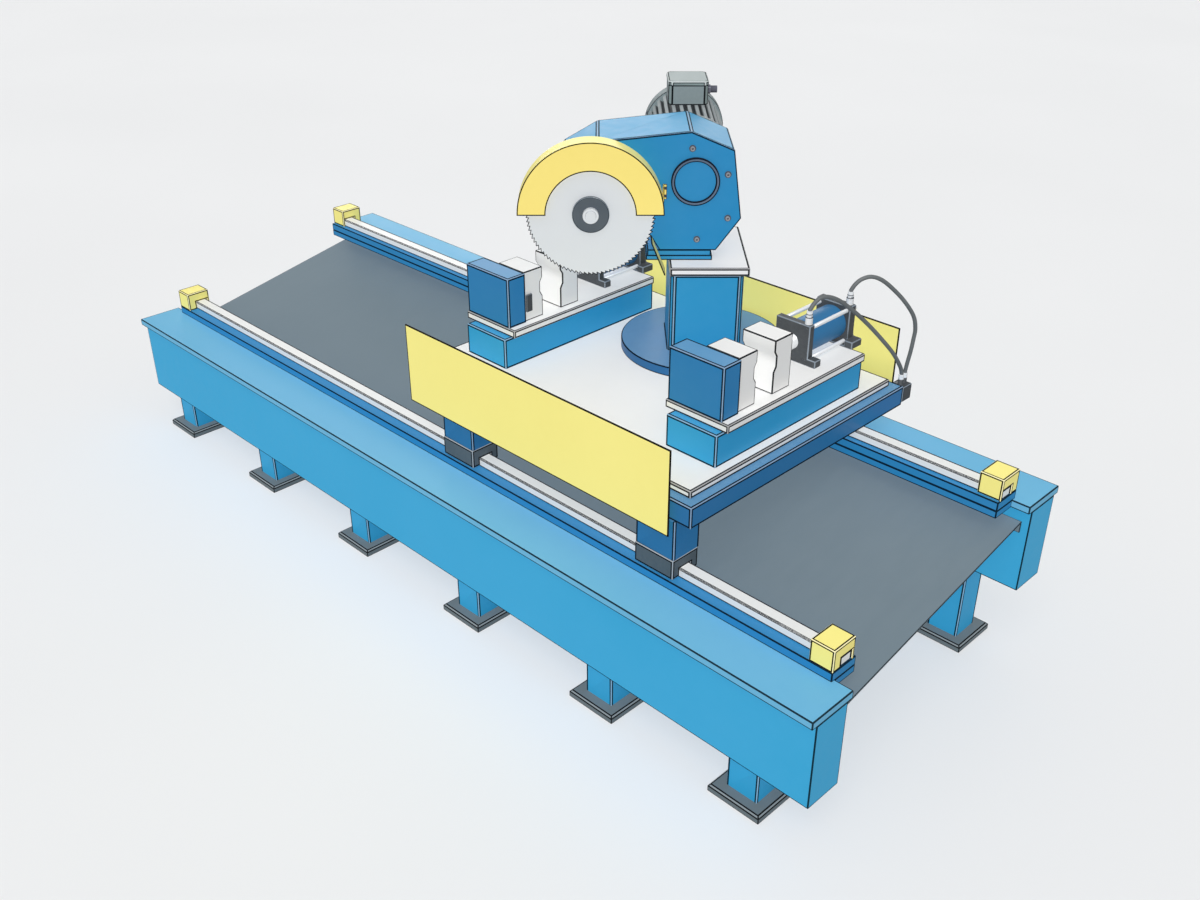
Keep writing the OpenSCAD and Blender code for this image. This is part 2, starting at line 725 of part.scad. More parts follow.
function rail_profile() = let (w = rail_w / 2, b = rail_bevel)
  [[-w, 0], [w, 0], [w, rail_h - b], [w - b, rail_h], [-w + b, rail_h], [-w, rail_h - b]];
module end_stops() color([0.96, 0.91, 0.56]) both_sides() for (s = [0, 1]) mirror([s, 0, 0]) difference() {
  box([support_half - stop_len, -flange_in_y - support_lap, support_z],
    [support_half, -support_in_y - stop_back, support_z + stop_h]);
  box([support_half - stop_len - 1, -rail_y - rail_w / 2 - stop_gap, support_z - 1],
    [support_half + 1, -rail_y + rail_w / 2 + stop_gap, rail_top + stop_gap]);
}
function leg_xs() = concat([for (i = [0:leg_count - 2]) -bed_len / 2 + leg_end + i * leg_pitch],
  [bed_len / 2 - leg_end_right]);
module one_leg(rise) difference() {
  translate([-leg_w / 2, -leg_w / 2, foot_t]) cube([leg_w, leg_w, beam_base_z + rise - foot_t]);
  translate([-leg_w / 2 + leg_wall, -leg_w / 2 + leg_wall, foot_t - 1])
    cube([leg_w - 2 * leg_wall, leg_w - 2 * leg_wall, beam_base_z + rise - foot_t + 2]);
}
module legs() color([0.14, 0.52, 0.74]) for (x = leg_xs()) {
  translate([x, -beam_out_y + beam_w / 2, 0]) one_leg(0);
  translate([x, beam_out_y - beam_w / 2, 0]) one_leg(far_rise);
}
module foot_plates() color([0.43, 0.46, 0.48]) for (x = leg_xs(), s = [-1, 1])
  translate([x, s * (beam_out_y - beam_w / 2), 0]) {
    linear_extrude(foot_t - foot_bevel) square(foot_w, center = true);
    translate([0, 0, foot_t - foot_bevel]) intersection() {
      rotate([90, 0, 0]) linear_extrude(foot_w, center = true) polygon(bevel_profile());
      rotate([90, 0, 90]) linear_extrude(foot_w, center = true) polygon(bevel_profile());
    }
  }
function bevel_profile() = [[-foot_w / 2, 0], [foot_w / 2, 0], [foot_w / 2 - foot_bevel, foot_bevel],
  [-foot_w / 2 + foot_bevel, foot_bevel]];
module chip_tray() color([0.46, 0.52, 0.55]) translate([-tray_half, 0, 0]) rotate([90, 0, 90])
  linear_extrude(2 * tray_half) polygon([[-beam_in_y, tray_low_z - tray_lip],
    [-beam_in_y + tray_t, tray_low_z - tray_lip], [-beam_in_y + tray_t, tray_low_z],
    [beam_in_y - tray_t, tray_high_z], [beam_in_y - tray_t, tray_high_z - tray_lip],
    [beam_in_y, tray_high_z - tray_lip], [beam_in_y, tray_high_z + tray_t],
    [-beam_in_y, tray_low_z + tray_t]]);

// Carriage
module carriage_frame() color([0.12, 0.37, 0.6]) {
  hollow_beam([frame_x0, frame_y0, frame_z], [frame_x1, frame_y0 + frame_near_w, table_z], frame_wall);
  hollow_beam([frame_x0, frame_y1 - frame_beam_w, frame_z], [frame_x1, frame_y1, table_z], frame_wall);
  for (x = [frame_x0, frame_x1 - frame_beam_w, rib_left_x - frame_beam_w, rib_right_x])
    hollow_beam([x, rib_y0, frame_z], [x + frame_beam_w, rib_y1, table_z], frame_wall);
}
module carriage_table() color([0.93, 0.93, 0.94]) difference() {
  box([frame_x0 + table_inset, frame_y0 + table_inset, table_z],
    [frame_x1 - table_inset, frame_y1 - table_inset, top_z]);
  translate([swivel_x, swivel_y, table_z - 1]) cylinder(h = table_t + 2, r = hub_r + hub_clear);
}
module near_posts() color([0.12, 0.4, 0.62]) for (x = block_xs) difference() {
  translate([x, -rail_y - block_w / 2 + post_step, post_z]) cube([block_len, block_w, near_post_h]);
  translate([x + post_wall, -rail_y - block_w / 2 + post_step + post_wall, post_z - 1])
    cube([block_len - 2 * post_wall, block_w - 2 * post_wall, near_post_h + 2]);
}
module far_posts() color([0.12, 0.4, 0.62]) for (x = block_xs)
  translate([x, rail_y - block_w / 2, post_z + far_rise]) cube([block_len, block_w, far_post_h]);
module bearing_blocks() color([0.27, 0.31, 0.34]) both_sides() for (x = block_xs)
  translate([x, -rail_y, 0]) rotate([90, 0, 90]) linear_extrude(block_len) difference() {
    translate([-block_w / 2, block_z]) square([block_w, block_h]);
    translate([-rail_w / 2 - rail_gap, block_z - 1])
      square([rail_w + 2 * rail_gap, rail_top + rail_gap - block_z + 1]);
  }
module near_guard() color([0.96, 0.91, 0.56])
  translate([guard_x0, frame_y0 - guard_off - guard_t, frame_z - guard_near_drop])
  cube([guard_near_len, guard_t, guard_h]);
module far_guard() color([0.96, 0.91, 0.56]) translate([guard_x0, frame_y1 + guard_off, frame_z - guard_drop])
  cube([guard_far_len, guard_t, guard_h]);
spacer_xs = [guard_x0 + spacer_end, guard_x0 + guard_near_len / 2, guard_x0 + guard_near_len - spacer_end];
module guard_spacers() color([0.27, 0.31, 0.34]) for (x = spacer_xs) {
  translate([x, 0, frame_z + frame_h / 2]) rod_y(spacer_r, frame_y0 - guard_off, frame_y0);
  translate([x, 0, frame_z + frame_h / 2]) rod_y(spacer_r, frame_y1, frame_y1 + guard_off);
}

// Vises
module vise_bases() color([0.2, 0.58, 0.78]) at_vises()
  box([-vise_base_w / 2, vise_base_y0, top_z], [vise_base_w / 2, vise_base_y1, plate_z]);
module slide_plates() color([0.93, 0.93, 0.94]) at_vises()
  box([plate_x0, plate_y0, plate_z], [plate_x1, plate_y1, jaw_z]);
module fixed_jaws() color([0.16, 0.4, 0.62]) at_vises()
  box([jaw_block_x0, plate_y0, jaw_z], [jaw_block_x0 + jaw_block_w, fixed_y, jaw_z + jaw_h]);
// Jaw body with the grip recess on its far face, or mirrored on its near face
function grip_profile(y0, y1, z0, mid) = [[y0, z0], [y1, z0], [y1, mid - grip_h / 2],
  [y1 - grip_d, mid - grip_h / 4],
  [y1 - grip_d, mid + grip_h / 4], [y1, mid + grip_h / 2], [y1, jaw_z + jaw_h], [y0, jaw_z + jaw_h]];
module grip_body(y0, y1, z0) translate([insert_x0, 0, 0]) rotate([90, 0, 90]) linear_extrude(insert_w)
  polygon(grip_profile(y0, y1, z0, jaw_z + grip_z));
module jaw_inserts() color([0.92, 0.92, 0.93]) at_vises() grip_body(fixed_y, insert_y, jaw_z);
module jaw_key() color([0.27, 0.31, 0.34])
  translate([left_vise_x + insert_x0 + insert_w, fixed_y + key_y, jaw_z + key_z]) cube([key_t, key_w, key_h]);
module moving_jaw(x) translate([x, 0, 0]) mirror([0, 1, 0])
  grip_body(-moving_back, -moving_y, jaw_z + jaw_clear);
module left_jaw() color([0.92, 0.92, 0.93]) moving_jaw(left_vise_x);
module right_jaw() color([0.92, 0.92, 0.93]) moving_jaw(right_vise_x);
module piston(x) translate([x + cyl_x, 0, axis_z]) {
  rod_y(rod_r, moving_back, barrel_y + piston_y + piston_t);
  rod_y(barrel_bore_r - shaft_clear, barrel_y + piston_y, barrel_y + piston_y + piston_t);
}
module left_piston() color([0.85, 0.87, 0.88]) piston(left_vise_x);
module right_piston() color([0.85, 0.87, 0.88]) piston(right_vise_x);
module tie_holes(y0, y1) for (i = [-1, 1], k = [-1, 1]) translate([i * tie_off, 0, k * tie_off])
  rod_y(tie_r + shaft_clear, y0 - 1, y1 + 1);
module cylinder_heads() color([0.25, 0.3, 0.33]) at_vises() translate([cyl_x, 0, 0]) {
  difference() {
    union() {
      box([-head_w / 2, head_y, jaw_z], [head_w / 2, barrel_y, head_top]);
      box([head_w / 2 - 1, head_y, jaw_z], [head_w / 2 + lug_len, barrel_y + lug_tail, jaw_z + lug_h]);
    }
    translate([0, 0, axis_z]) rod_y(rod_r + shaft_clear, head_y - 1, barrel_y + 1);
    translate([0, 0, axis_z]) tie_holes(head_y, barrel_y);
  }
  difference() {
    union() {
      box([-head_w / 2, rear_y, jaw_z], [head_w / 2, rear_y + head_rear_t, head_top]);
      box([-head_w / 2, plate_y1 - lug_lap, jaw_z],
        [head_w / 2 + lug_len, rear_y + head_rear_t + lug_tail, jaw_z + lug_foot]);
      box([head_w / 2 - 1, plate_y1 - lug_lap, jaw_z],
        [head_w / 2 + lug_len, rear_y + head_rear_t + lug_tail, jaw_z + lug_h]);
    }
    translate([0, 0, axis_z]) tie_holes(rear_y, rear_y + head_rear_t + lug_tail);
  }
}
module cylinder_barrels() color([0.16, 0.45, 0.68]) at_vises() translate([cyl_x, 0, axis_z]) difference() {
  rod_y(barrel_r, barrel_y, rear_y);
  rod_y(barrel_bore_r, barrel_y - 1, rear_y + 1);
}
module tie_rods() color([0.9, 0.9, 0.91]) at_vises() translate([cyl_x, 0, axis_z])
  for (i = [-1, 1], k = [-1, 1]) translate([i * tie_off, 0, k * tie_off])
    rod_y(tie_r, head_y, rear_y + head_rear_t);
module port_fittings() color([0.85, 0.86, 0.87]) at_vises() translate([cyl_x + port_x, 0, port_z])
  for (y = [port_y1, port_y2]) translate([0, y, 0]) {
    cylinder(h = port_h, r = min(port_r, head_front_t / 2 - 1));
    translate([0, 0, port_h]) cylinder(h = collar_h, r = ferrule_r);
  }
module hose(a, b, way) color([0.38, 0.4, 0.41])
  tube(concat([a], spline(hose_way(a, b, way), 3), [b]), hose_r, 10);
module hose_front() hose(front_start, front_end, front_way);
module hose_rear() hose(rear_start, rear_end, rear_way);
module hose_block() color([0.25, 0.3, 0.33]) {
  translate([manifold_x, frame_y1, manifold_z - manifold_h]) cube([manifold_len, manifold_w, manifold_h]);
  for (p = [front_end, rear_end]) translate([p[0], p[1], manifold_z])
    cylinder(h = ferrule_h, r = ferrule_r - 1);
}

// Swivel
module turntable() color([0.12, 0.37, 0.6]) head() difference() {
  translate([0, 0, disc_z]) cylinder(h = disc_t, r = disc_r, $fn = 96);
  square_prism(column_w + 2 * column_clear, column_bevel, disc_z - 1, disc_top + 1);
}
module swivel_hub() color([0.3, 0.34, 0.37]) head() difference() {
  translate([0, 0, hub_z]) cylinder(h = disc_z - hub_z, r = hub_r, $fn = 96);
  square_prism(column_w + 2 * column_clear, column_bevel, floor_z, disc_z + 1);
}
module hold_down_ring() color([0.3, 0.34, 0.37]) head()
  translate([0, 0, table_z - swivel_gap - ring_t]) difference() {
  cylinder(h = ring_t, r = ring_r, $fn = 96);
  translate([0, 0, -1]) cylinder(h = ring_t + 2, r = hub_r, $fn = 96);
}
module guide_post() color([0.7, 0.72, 0.74]) head() difference() {
  square_prism(post_w, post_bevel, floor_z, cap_z - feed - post_gap);
  translate([0, 0, floor_z - 1]) cylinder(h = cap_z, r = feed_r + 1);
}
module feed_barrel() color([0.16, 0.45, 0.68]) head() translate([0, 0, floor_z]) difference() {
  cylinder(h = cap_z - feed - feed_gap - floor_z, r = feed_r);
  translate([0, 0, feed_floor]) cylinder(h = cap_z, r = feed_r - feed_wall);
}

// Saw head
module column() color([0.14, 0.5, 0.74]) head() difference() {
  square_prism(column_w, column_bevel, column_z, cap_z);
  square_prism(column_in, post_bevel, column_z - 1, cap_z + 1);
}
module column_cap() color([0.93, 0.93, 0.94]) head() box([cap_x0, cap_y0, cap_z], [cap_x1, cap_y1, sole_z]);
module feed_piston() color([0.85, 0.87, 0.88]) head() {
  translate([0, 0, piston_z]) cylinder(h = feed_piston_t, r = feed_r - feed_wall - shaft_clear);
  translate([0, 0, piston_z + 1]) cylinder(h = cap_z - piston_z - 1, r = feed_rod_r);
}
module sole_plates() color([0.12, 0.35, 0.57]) head() {
  box([sole_x0, -house_front, sole_z], [sole_x1, house_back, sole_z + sole_t]);
  box([sole_x0 + sole_step, -house_front + sole_step, sole_z + sole_t],
    [sole_x1 - sole_step, house_back, house_z]);
}
module gear_housing() color([0.21, 0.58, 0.78]) head() difference() {
  house_slab(outline, -house_front + house_plate_t, house_back);
  house_slab(inner_outline, -house_front, house_back - house_wall);
  at_motor() rod_y(shaft_r + shaft_clear, house_back - house_wall - 1, house_back + 1);
  at_saw() rod_y(spindle_r + shaft_clear, house_back - house_wall - 1, house_back + 1);
  at_idler() rod_y(shaft_r + shaft_clear, house_back - house_wall - 1, house_back - bore_end);
}
module housing_plate() color([0.21, 0.58, 0.78]) head() difference() {
  house_slab(outline, -house_front, -house_front + house_plate_t);
  at_motor() rod_y(shaft_r + shaft_clear, -house_front + bore_end, 0);
  at_idler() rod_y(shaft_r + shaft_clear, -house_front + bore_end, 0);
  at_saw() rod_y(spindle_r + shaft_clear, -house_front - 1, 0);
}
module round_cover() color([0.24, 0.6, 0.8]) head() at_motor() difference() {
  rod_y(cover_r, -house_front - cover_h, -house_front);
  rod_y(cover_face_r, -house_front - cover_h - 1, -house_front - cover_h + cover_recess);
}
// Places of the housing bolts, as x and height above the sole plates
bolt_spots = [[-70, 403], [68, 303], [75, 131], [-41, 45.5]];
module housing_bolts() color([0.2, 0.24, 0.27]) head() for (p = bolt_spots)
  translate([p[0], 0, house_z + p[1]]) {
  rod_y(bolt_washer_r, -house_front - bolt_washer_t, -house_front);
  translate([0, -house_front - bolt_washer_t, 0]) rotate([90, 0, 0])
    cylinder(h = bolt_head_t, r = bolt_head_r, $fn = 6);
}
module half_disc(r, y0, y1) intersection() {
  translate([0, y1, 0]) rotate([90, 0, 0]) cylinder(h = y1 - y0, r = r, $fn = 96);
  box([-r - 1, y0, 0], [r + 1, y1, r + 1]);
}
module blade_guard() color([0.96, 0.91, 0.56]) head() at_saw() difference() {
  half_disc(guard_r, -house_front - shield_d, -house_front);
  translate([0, 0, -1])
    half_disc(guard_r - shield_t, -house_front - shield_d + shield_t, -house_front - shield_t);
  translate([0, 0, -1])
    half_disc(guard_window_r, -house_front - shield_d - 1, -house_front - shield_d + shield_t + 1);
  translate([0, 0, -1]) half_disc(flange_r + back_gap, -house_front - shield_t - 1, -house_front + 1);
}
module deflector() color([0.96, 0.91, 0.56]) head() translate([0, -house_front, house_z]) rotate([90, 0, 0])
  linear_extrude(deflect_w) polygon([[deflect_x1, deflect_z1], [deflect_x1 - shield_t, deflect_z1],
    [deflect_x0 - shield_t, -deflect_z0], [deflect_x0, -deflect_z0]]);

// Motor
module motor_body() color([0.51, 0.55, 0.56]) head() at_motor() difference() {
  union() {
    rod_y(motor_flange_r, motor_y, motor_y + motor_flange_t);
    rod_y(motor_r - rib_h, motor_y, cowl_y);
    for (i = [0:rib_count - 1]) rotate([0, i * 360 / rib_count, 0])
      box([-rib_w / 2, motor_y + motor_flange_t - 1, motor_r - rib_h - rib_w], [rib_w / 2, cowl_y, motor_r]);
  }
  rod_y(rotor_r + 1, motor_y + motor_flange_t, cowl_y - motor_end_t);
  rod_y(shaft_r + shaft_clear, motor_y - 1, cowl_y + 1);
}
module fan_cowl() color([0.45, 0.49, 0.5]) head() at_motor() difference() {
  rod_y(cowl_r, cowl_y, cowl_y + cowl_len);
  rod_y(cowl_r - cowl_wall, cowl_y + cowl_wall, cowl_y + cowl_len - cowl_wall);
  rod_y(motor_r - cowl_mouth, cowl_y - 1, cowl_y + cowl_wall + 1);
  for (ring = cowl_rings, i = [0:ring[1] - 1]) rotate([0, i * 360 / ring[1], 0]) translate([ring[0], 0, 0])
    rod_y(cowl_hole_r, cowl_y + cowl_len - cowl_wall - 1, cowl_y + cowl_len + 1);
}
// Radius and number of holes of each ring in the cowl's end
cowl_rings = [[cowl_r * 0.34, cowl_holes / 2], [cowl_r * 0.56, cowl_holes], [cowl_r * 0.78, cowl_holes]];
tbox_z = shaft_z + motor_r;
tbox_y1 = motor_y + tbox_y;
tbox_y2 = tbox_y1 + tbox_len;
// Plan of the terminal box with bevelled corners, grown on all sides
module cut_plan(over) polygon([for (i = [0:3], k = [0, 1]) let (c = tbox_bevel,
  x = [tbox_x0 - over, tbox_x0 + tbox_w + over], y = [tbox_y1 - over, tbox_y2 + over],
  sx = i == 0 || i == 3 ? 0 : 1, sy = i < 2 ? 0 : 1, flat = (i + k) % 2 == 0)
  [x[sx] + (flat ? 0 : (sx == 0 ? c : -c)), y[sy] + (flat ? (sy == 0 ? c : -c) : 0)]]);
module terminal_box() color([0.5, 0.54, 0.55]) head() difference() {
  translate([0, 0, tbox_z]) linear_extrude(tbox_h) cut_plan(0);
  translate([0, 0, tbox_z + tbox_wall]) linear_extrude(tbox_h) cut_plan(-tbox_wall);
}
module terminal_lid() color([0.75, 0.78, 0.78]) head()
  translate([0, 0, tbox_z + tbox_h]) linear_extrude(lid_t) cut_plan(lid_over);
module cable_gland() color([0.3, 0.34, 0.37]) head()
  translate([tbox_x0 + tbox_w, (tbox_y1 + tbox_y2) / 2, tbox_z + tbox_h * 0.55]) rotate([0, 90, 0]) {
    cylinder(h = gland_len * 0.35, r = gland_r, $fn = 6);
    translate([0, 0, gland_len * 0.35]) cylinder(h = gland_len * 0.65, r = gland_r * 0.75);
  }

// Blade and drive
function saw_points() = [for (i = [0:blade_teeth - 1]) each [
  (blade_r - tooth_d) * [cos(i * 360 / blade_teeth), sin(i * 360 / blade_teeth)],
  (blade_r - tooth_d * 0.3) * [cos((i + 0.62) * 360 / blade_teeth), sin((i + 0.62) * 360 / blade_teeth)],
  blade_r * [cos((i + 0.9) * 360 / blade_teeth), sin((i + 0.9) * 360 / blade_teeth)]]];
module saw_blade() color([0.85, 0.87, 0.88]) head() at_saw() difference() {
  translate([0, -blade_y, 0]) rotate([90, 0, 0]) linear_extrude(blade_t) polygon(saw_points());
  rod_y(nose_r, -blade_y - blade_t - 1, -blade_y + 1);
}
module blade_flange() color([0.28, 0.33, 0.37]) head() at_saw() difference() {
  rod_y(flange_r, -blade_y - blade_t - flange_out_t, -blade_y - blade_t);
  rod_y(nose_r, -blade_y - blade_t - flange_out_t - 1, -blade_y - blade_t + 1);
}
module spindle_nut() color([0.85, 0.87, 0.88]) head() at_saw() difference() {
  rod_y(nut_r, -blade_y - blade_t - flange_out_t - nut_h, -blade_y - blade_t - flange_out_t);
  rod_y(nose_r, -blade_y - blade_t - flange_out_t - nut_h - 1, -blade_y - blade_t - flange_out_t + 1);
}
module spindle() color([0.7, 0.72, 0.74]) head() at_saw() {
  rod_y(nose_r, -blade_y - blade_t - flange_out_t - nut_h - nose_out, -blade_y + 1);
  rod_y(flange_r, -blade_y, -blade_y + flange_in_t);
  rod_y(spindle_r, -blade_y + flange_in_t - 1, house_back - shaft_end);
  gear(wheel_teeth, wheel_turn);
}
module motor_shaft() color([0.7, 0.72, 0.74]) head() at_motor() {
  fan_y1 = cowl_y + cowl_len - fan_end;
  rod_y(shaft_r, -house_front + bore_end + shaft_end, fan_y1 + rotor_gap);
  rod_y(rotor_r, motor_y + motor_flange_t + rotor_gap, cowl_y - motor_end_t - rotor_gap);
  gear(pinion_teeth, line_1);
  rod_y(fan_hub_r, fan_y1 - fan_w, fan_y1);
  for (i = [0:fan_blades - 1]) rotate([0, i * 360 / fan_blades, 0])
    box([-fan_t / 2, fan_y1 - fan_w, fan_hub_r - fan_t], [fan_t / 2, fan_y1, cowl_r - cowl_wall - fan_gap]);
}
module idler_gear() color([0.7, 0.72, 0.74]) head() at_idler() {
  rod_y(shaft_r, -house_front + bore_end + shaft_end, house_back - bore_end - shaft_end);
  gear(idler_teeth, idler_turn);
}

near_beam();
far_beam();
beam_flanges();
lower_plates();
upper_plates();
rails();
end_stops();
legs();
foot_plates();
chip_tray();
carriage_frame();
carriage_table();
near_posts();
far_posts();
bearing_blocks();
near_guard();
far_guard();
guard_spacers();
vise_bases();
slide_plates();
fixed_jaws();
jaw_inserts();
jaw_key();
cylinder_heads();
cylinder_barrels();
tie_rods();
port_fittings();
hose_front();
hose_rear();
hose_block();
left_jaw();
left_piston();
right_jaw();
right_piston();
turntable();
swivel_hub();
hold_down_ring();
guide_post();
feed_barrel();
column();
column_cap();
feed_piston();
sole_plates();
gear_housing();
housing_plate();
round_cover();
housing_bolts();
blade_guard();
deflector();
motor_body();
fan_cowl();
terminal_box();
terminal_lid();
cable_gland();
saw_blade();
blade_flange();
spindle_nut();
spindle();
motor_shaft();
idler_gear();
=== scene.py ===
"""Travelling cold saw: painted plates with bevelled edges, ground steel, rubber hoses, studio floor."""
import json
import math

import bmesh
import bpy
from mathutils import Matrix, Vector


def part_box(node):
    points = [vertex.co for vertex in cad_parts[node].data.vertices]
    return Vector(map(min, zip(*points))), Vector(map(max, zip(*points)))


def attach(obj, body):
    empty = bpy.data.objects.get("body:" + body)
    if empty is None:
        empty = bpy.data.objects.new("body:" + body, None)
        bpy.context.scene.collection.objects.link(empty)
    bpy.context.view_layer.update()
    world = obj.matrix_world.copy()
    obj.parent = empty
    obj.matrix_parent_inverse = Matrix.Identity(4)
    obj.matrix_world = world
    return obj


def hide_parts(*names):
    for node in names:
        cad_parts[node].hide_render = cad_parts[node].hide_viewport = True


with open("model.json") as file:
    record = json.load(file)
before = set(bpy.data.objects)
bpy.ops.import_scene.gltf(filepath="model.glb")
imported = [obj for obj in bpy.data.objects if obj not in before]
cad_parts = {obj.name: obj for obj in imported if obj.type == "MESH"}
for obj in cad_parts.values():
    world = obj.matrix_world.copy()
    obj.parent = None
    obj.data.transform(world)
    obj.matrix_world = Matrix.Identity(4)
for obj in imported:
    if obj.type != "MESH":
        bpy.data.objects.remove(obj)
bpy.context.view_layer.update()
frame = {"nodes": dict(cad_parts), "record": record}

BODIES = frame["record"]["behaviour"]["bodies"]
BODY_OF = {node: body for body, nodes in BODIES.items() for node in nodes}

# The head's frame: its right, its back and up, from the floor under the swivel axis
SWIVEL = Vector((0.642847, 0.414, 0.0))
HEAD_RIGHT = Vector((math.sqrt(0.5), math.sqrt(0.5), 0.0))
HEAD_BACK = Vector((-math.sqrt(0.5), math.sqrt(0.5), 0.0))
UP = Vector((0.0, 0.0, 1.0))
HOUSING_FRONT = -0.062
HOUSING_BACK = 0.240
HOUSING_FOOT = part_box("gear_housing")[0][2]
BLADE_RIGHT = -0.4525
GUARD_RADIUS = 0.280
MOTOR_LENGTH = 0.455


def head_point(right, back, z):
    """A point given from the swivel axis to the head's right and back, at height z."""
    return SWIVEL + HEAD_RIGHT * right + HEAD_BACK * back + UP * z


BLADE_CENTRE = head_point(BLADE_RIGHT, 0.0, 1.537)
MOTOR_CENTRE = head_point(-0.0545, 0.0, 1.644)


def facing(origin, direction):
    """Frame whose z axis looks along the direction and whose y axis keeps as upright as it can."""
    z = Vector(direction).normalized()
    x = UP.cross(z) if abs(z.z) < 0.99 else Vector((1.0, 0.0, 0.0))
    x.normalize()
    y = z.cross(x)
    return Matrix.Translation(origin) @ Matrix((x, y, z)).transposed().to_4x4()


# Camera and light

def photo_camera():
    """The camera of the photograph."""
    data = bpy.data.cameras.new("photo_camera")
    data.lens = 37.17
    data.sensor_width = 36.0
    data.clip_end = 100.0
    camera = bpy.data.objects.new("photo_camera", data)
    camera.location = (3.6336, -3.1666, 3.1130)
    camera.rotation_euler = (math.radians(60), 0.0, math.radians(45))
    bpy.context.scene.collection.objects.link(camera)
    bpy.context.scene.camera = camera


def soft_sun(name, direction, strength, angle, shadow=True):
    """A sun whose light comes from the given direction; a fill sun casts no shadow."""
    data = bpy.data.lights.new(name, "SUN")
    data.energy = strength
    data.angle = math.radians(angle)
    data.use_shadow = shadow
    lamp = bpy.data.objects.new(name, data)
    lamp.rotation_euler = Vector(direction).to_track_quat("Z", "Y").to_euler()
    bpy.context.scene.collection.objects.link(lamp)


# Node trees

class Value:
    """One socket of a tree; sums on it add the Math nodes they need."""

    def __init__(self, owner, socket):
        self.owner = owner
        self.socket = socket

    def maths(self, operation, *terms):
        return self.owner.add("ShaderNodeMath", {"operation": operation}, dict(enumerate(terms)))

    def __add__(self, other):
        return self.maths("ADD", self, other)

    __radd__ = __add__

    def __sub__(self, other):
        return self.maths("SUBTRACT", self, other)

    def __rsub__(self, other):
        return self.maths("SUBTRACT", other, self)

    def __mul__(self, other):
        return self.maths("MULTIPLY", self, other)

    __rmul__ = __mul__

    def __truediv__(self, other):
        return self.maths("DIVIDE", self, other)

    def __rtruediv__(self, other):
        return self.maths("DIVIDE", other, self)

    def above(self, limit):
        return self.maths("GREATER_THAN", self, limit)


class Builder:
    """Adds nodes to one tree."""

    def __init__(self, tree):
        self.tree = tree

    def add(self, kind, settings=None, inputs=None, output=0):
        """Any node: its settings first, then its sockets, by name or number."""
        node = self.tree.nodes.new(kind)
        for name, value in (settings or {}).items():
            setattr(node, name, value)
        for name, value in (inputs or {}).items():
            for term in value if isinstance(value, list) else [value]:
                if isinstance(term, Value):
                    self.tree.links.new(term.socket, node.inputs[name])
                else:
                    node.inputs[name].default_value = term
        return Value(self, node.outputs[output])


# Finishes

def linear(red, green, blue):
    """A colour written as 0 to 255 per channel, as the shader needs it."""
    out = []
    for value in (red, green, blue):
        value /= 255
        out.append(value / 12.92 if value <= 0.04045 else ((value + 0.055) / 1.055) ** 2.4)
    return (*out, 1.0)


def mixed(colour, other, share):
    return (*(a + (b - a) * share for a, b in zip(colour[:3], other[:3])), 1.0)


def lighter(colour, share):
    return mixed(colour, (1.0, 1.0, 1.0), share)


def darker(colour, share):
    return mixed(colour, (0.0, 0.0, 0.0), share)


class Finish(Builder):
    """A material with one Principled shader, built up node by node."""

    def __init__(self, name, **constants):
        self.material = bpy.data.materials.new(name)
        self.material.use_nodes = True
        super().__init__(self.material.node_tree)
        self.shader = self.tree.nodes["Principled BSDF"]
        for socket, value in constants.items():
            self.shader.inputs[socket.replace("_", " ")].default_value = value
        self.place = self.add("ShaderNodeTexCoord", output="Object")

    def noise(self, scale, detail, place=None, roughness=0.5):
        return self.add("ShaderNodeTexNoise", None, {
            "Vector": place or self.place, "Scale": scale, "Detail": detail, "Roughness": roughness})

    def stretched(self, scale):
        """Object coordinates stretched along the axes."""
        return self.add("ShaderNodeMapping", {"vector_type": "POINT"}, {
            "Vector": self.place, "Scale": scale})

    def radius_about(self, centre):
        """Distance from the line through the centre along the head's back."""
        turn = math.radians(-45.0)
        flat = self.add("ShaderNodeMapping", {"vector_type": "POINT"}, {
            "Vector": self.place, "Rotation": (0.0, 0.0, turn)})
        middle = Matrix.Rotation(turn, 3, "Z") @ Vector(centre)
        moved = self.add("ShaderNodeVectorMath", {"operation": "SUBTRACT"}, {0: flat, 1: tuple(middle)})
        disc = self.add("ShaderNodeVectorMath", {"operation": "MULTIPLY"}, {
            0: moved, 1: (1.0, 0.0, 1.0)})
        return self.add("ShaderNodeVectorMath", {"operation": "LENGTH"}, {0: disc}, output="Value")

    def upward(self):
        """1 on faces that look up, 0 on those that stand."""
        turned = self.add("ShaderNodeTexCoord", output="Normal")
        return self.add("ShaderNodeSeparateXYZ", None, {0: turned}, output="Z").above(0.85)

    def blend(self, mask, first, second):
        """Colour that goes from first to second as the mask goes from 0 to 1."""
        sockets = {0: mask, 6: first, 7: second}
        return self.add("ShaderNodeMix", {"data_type": "RGBA"}, sockets, output=2)

    def wear(self, **sockets):
        """Links values or colours to the shader's own sockets."""
        for name, value in sockets.items():
            self.tree.links.new(value.socket, self.shader.inputs[name.replace("_", " ")])

    def relief(self, height, strength, distance):
        sizes = {"Strength": strength, "Distance": distance, "Height": height}
        self.wear(Normal=self.add("ShaderNodeBump", None, sizes, output="Normal"))


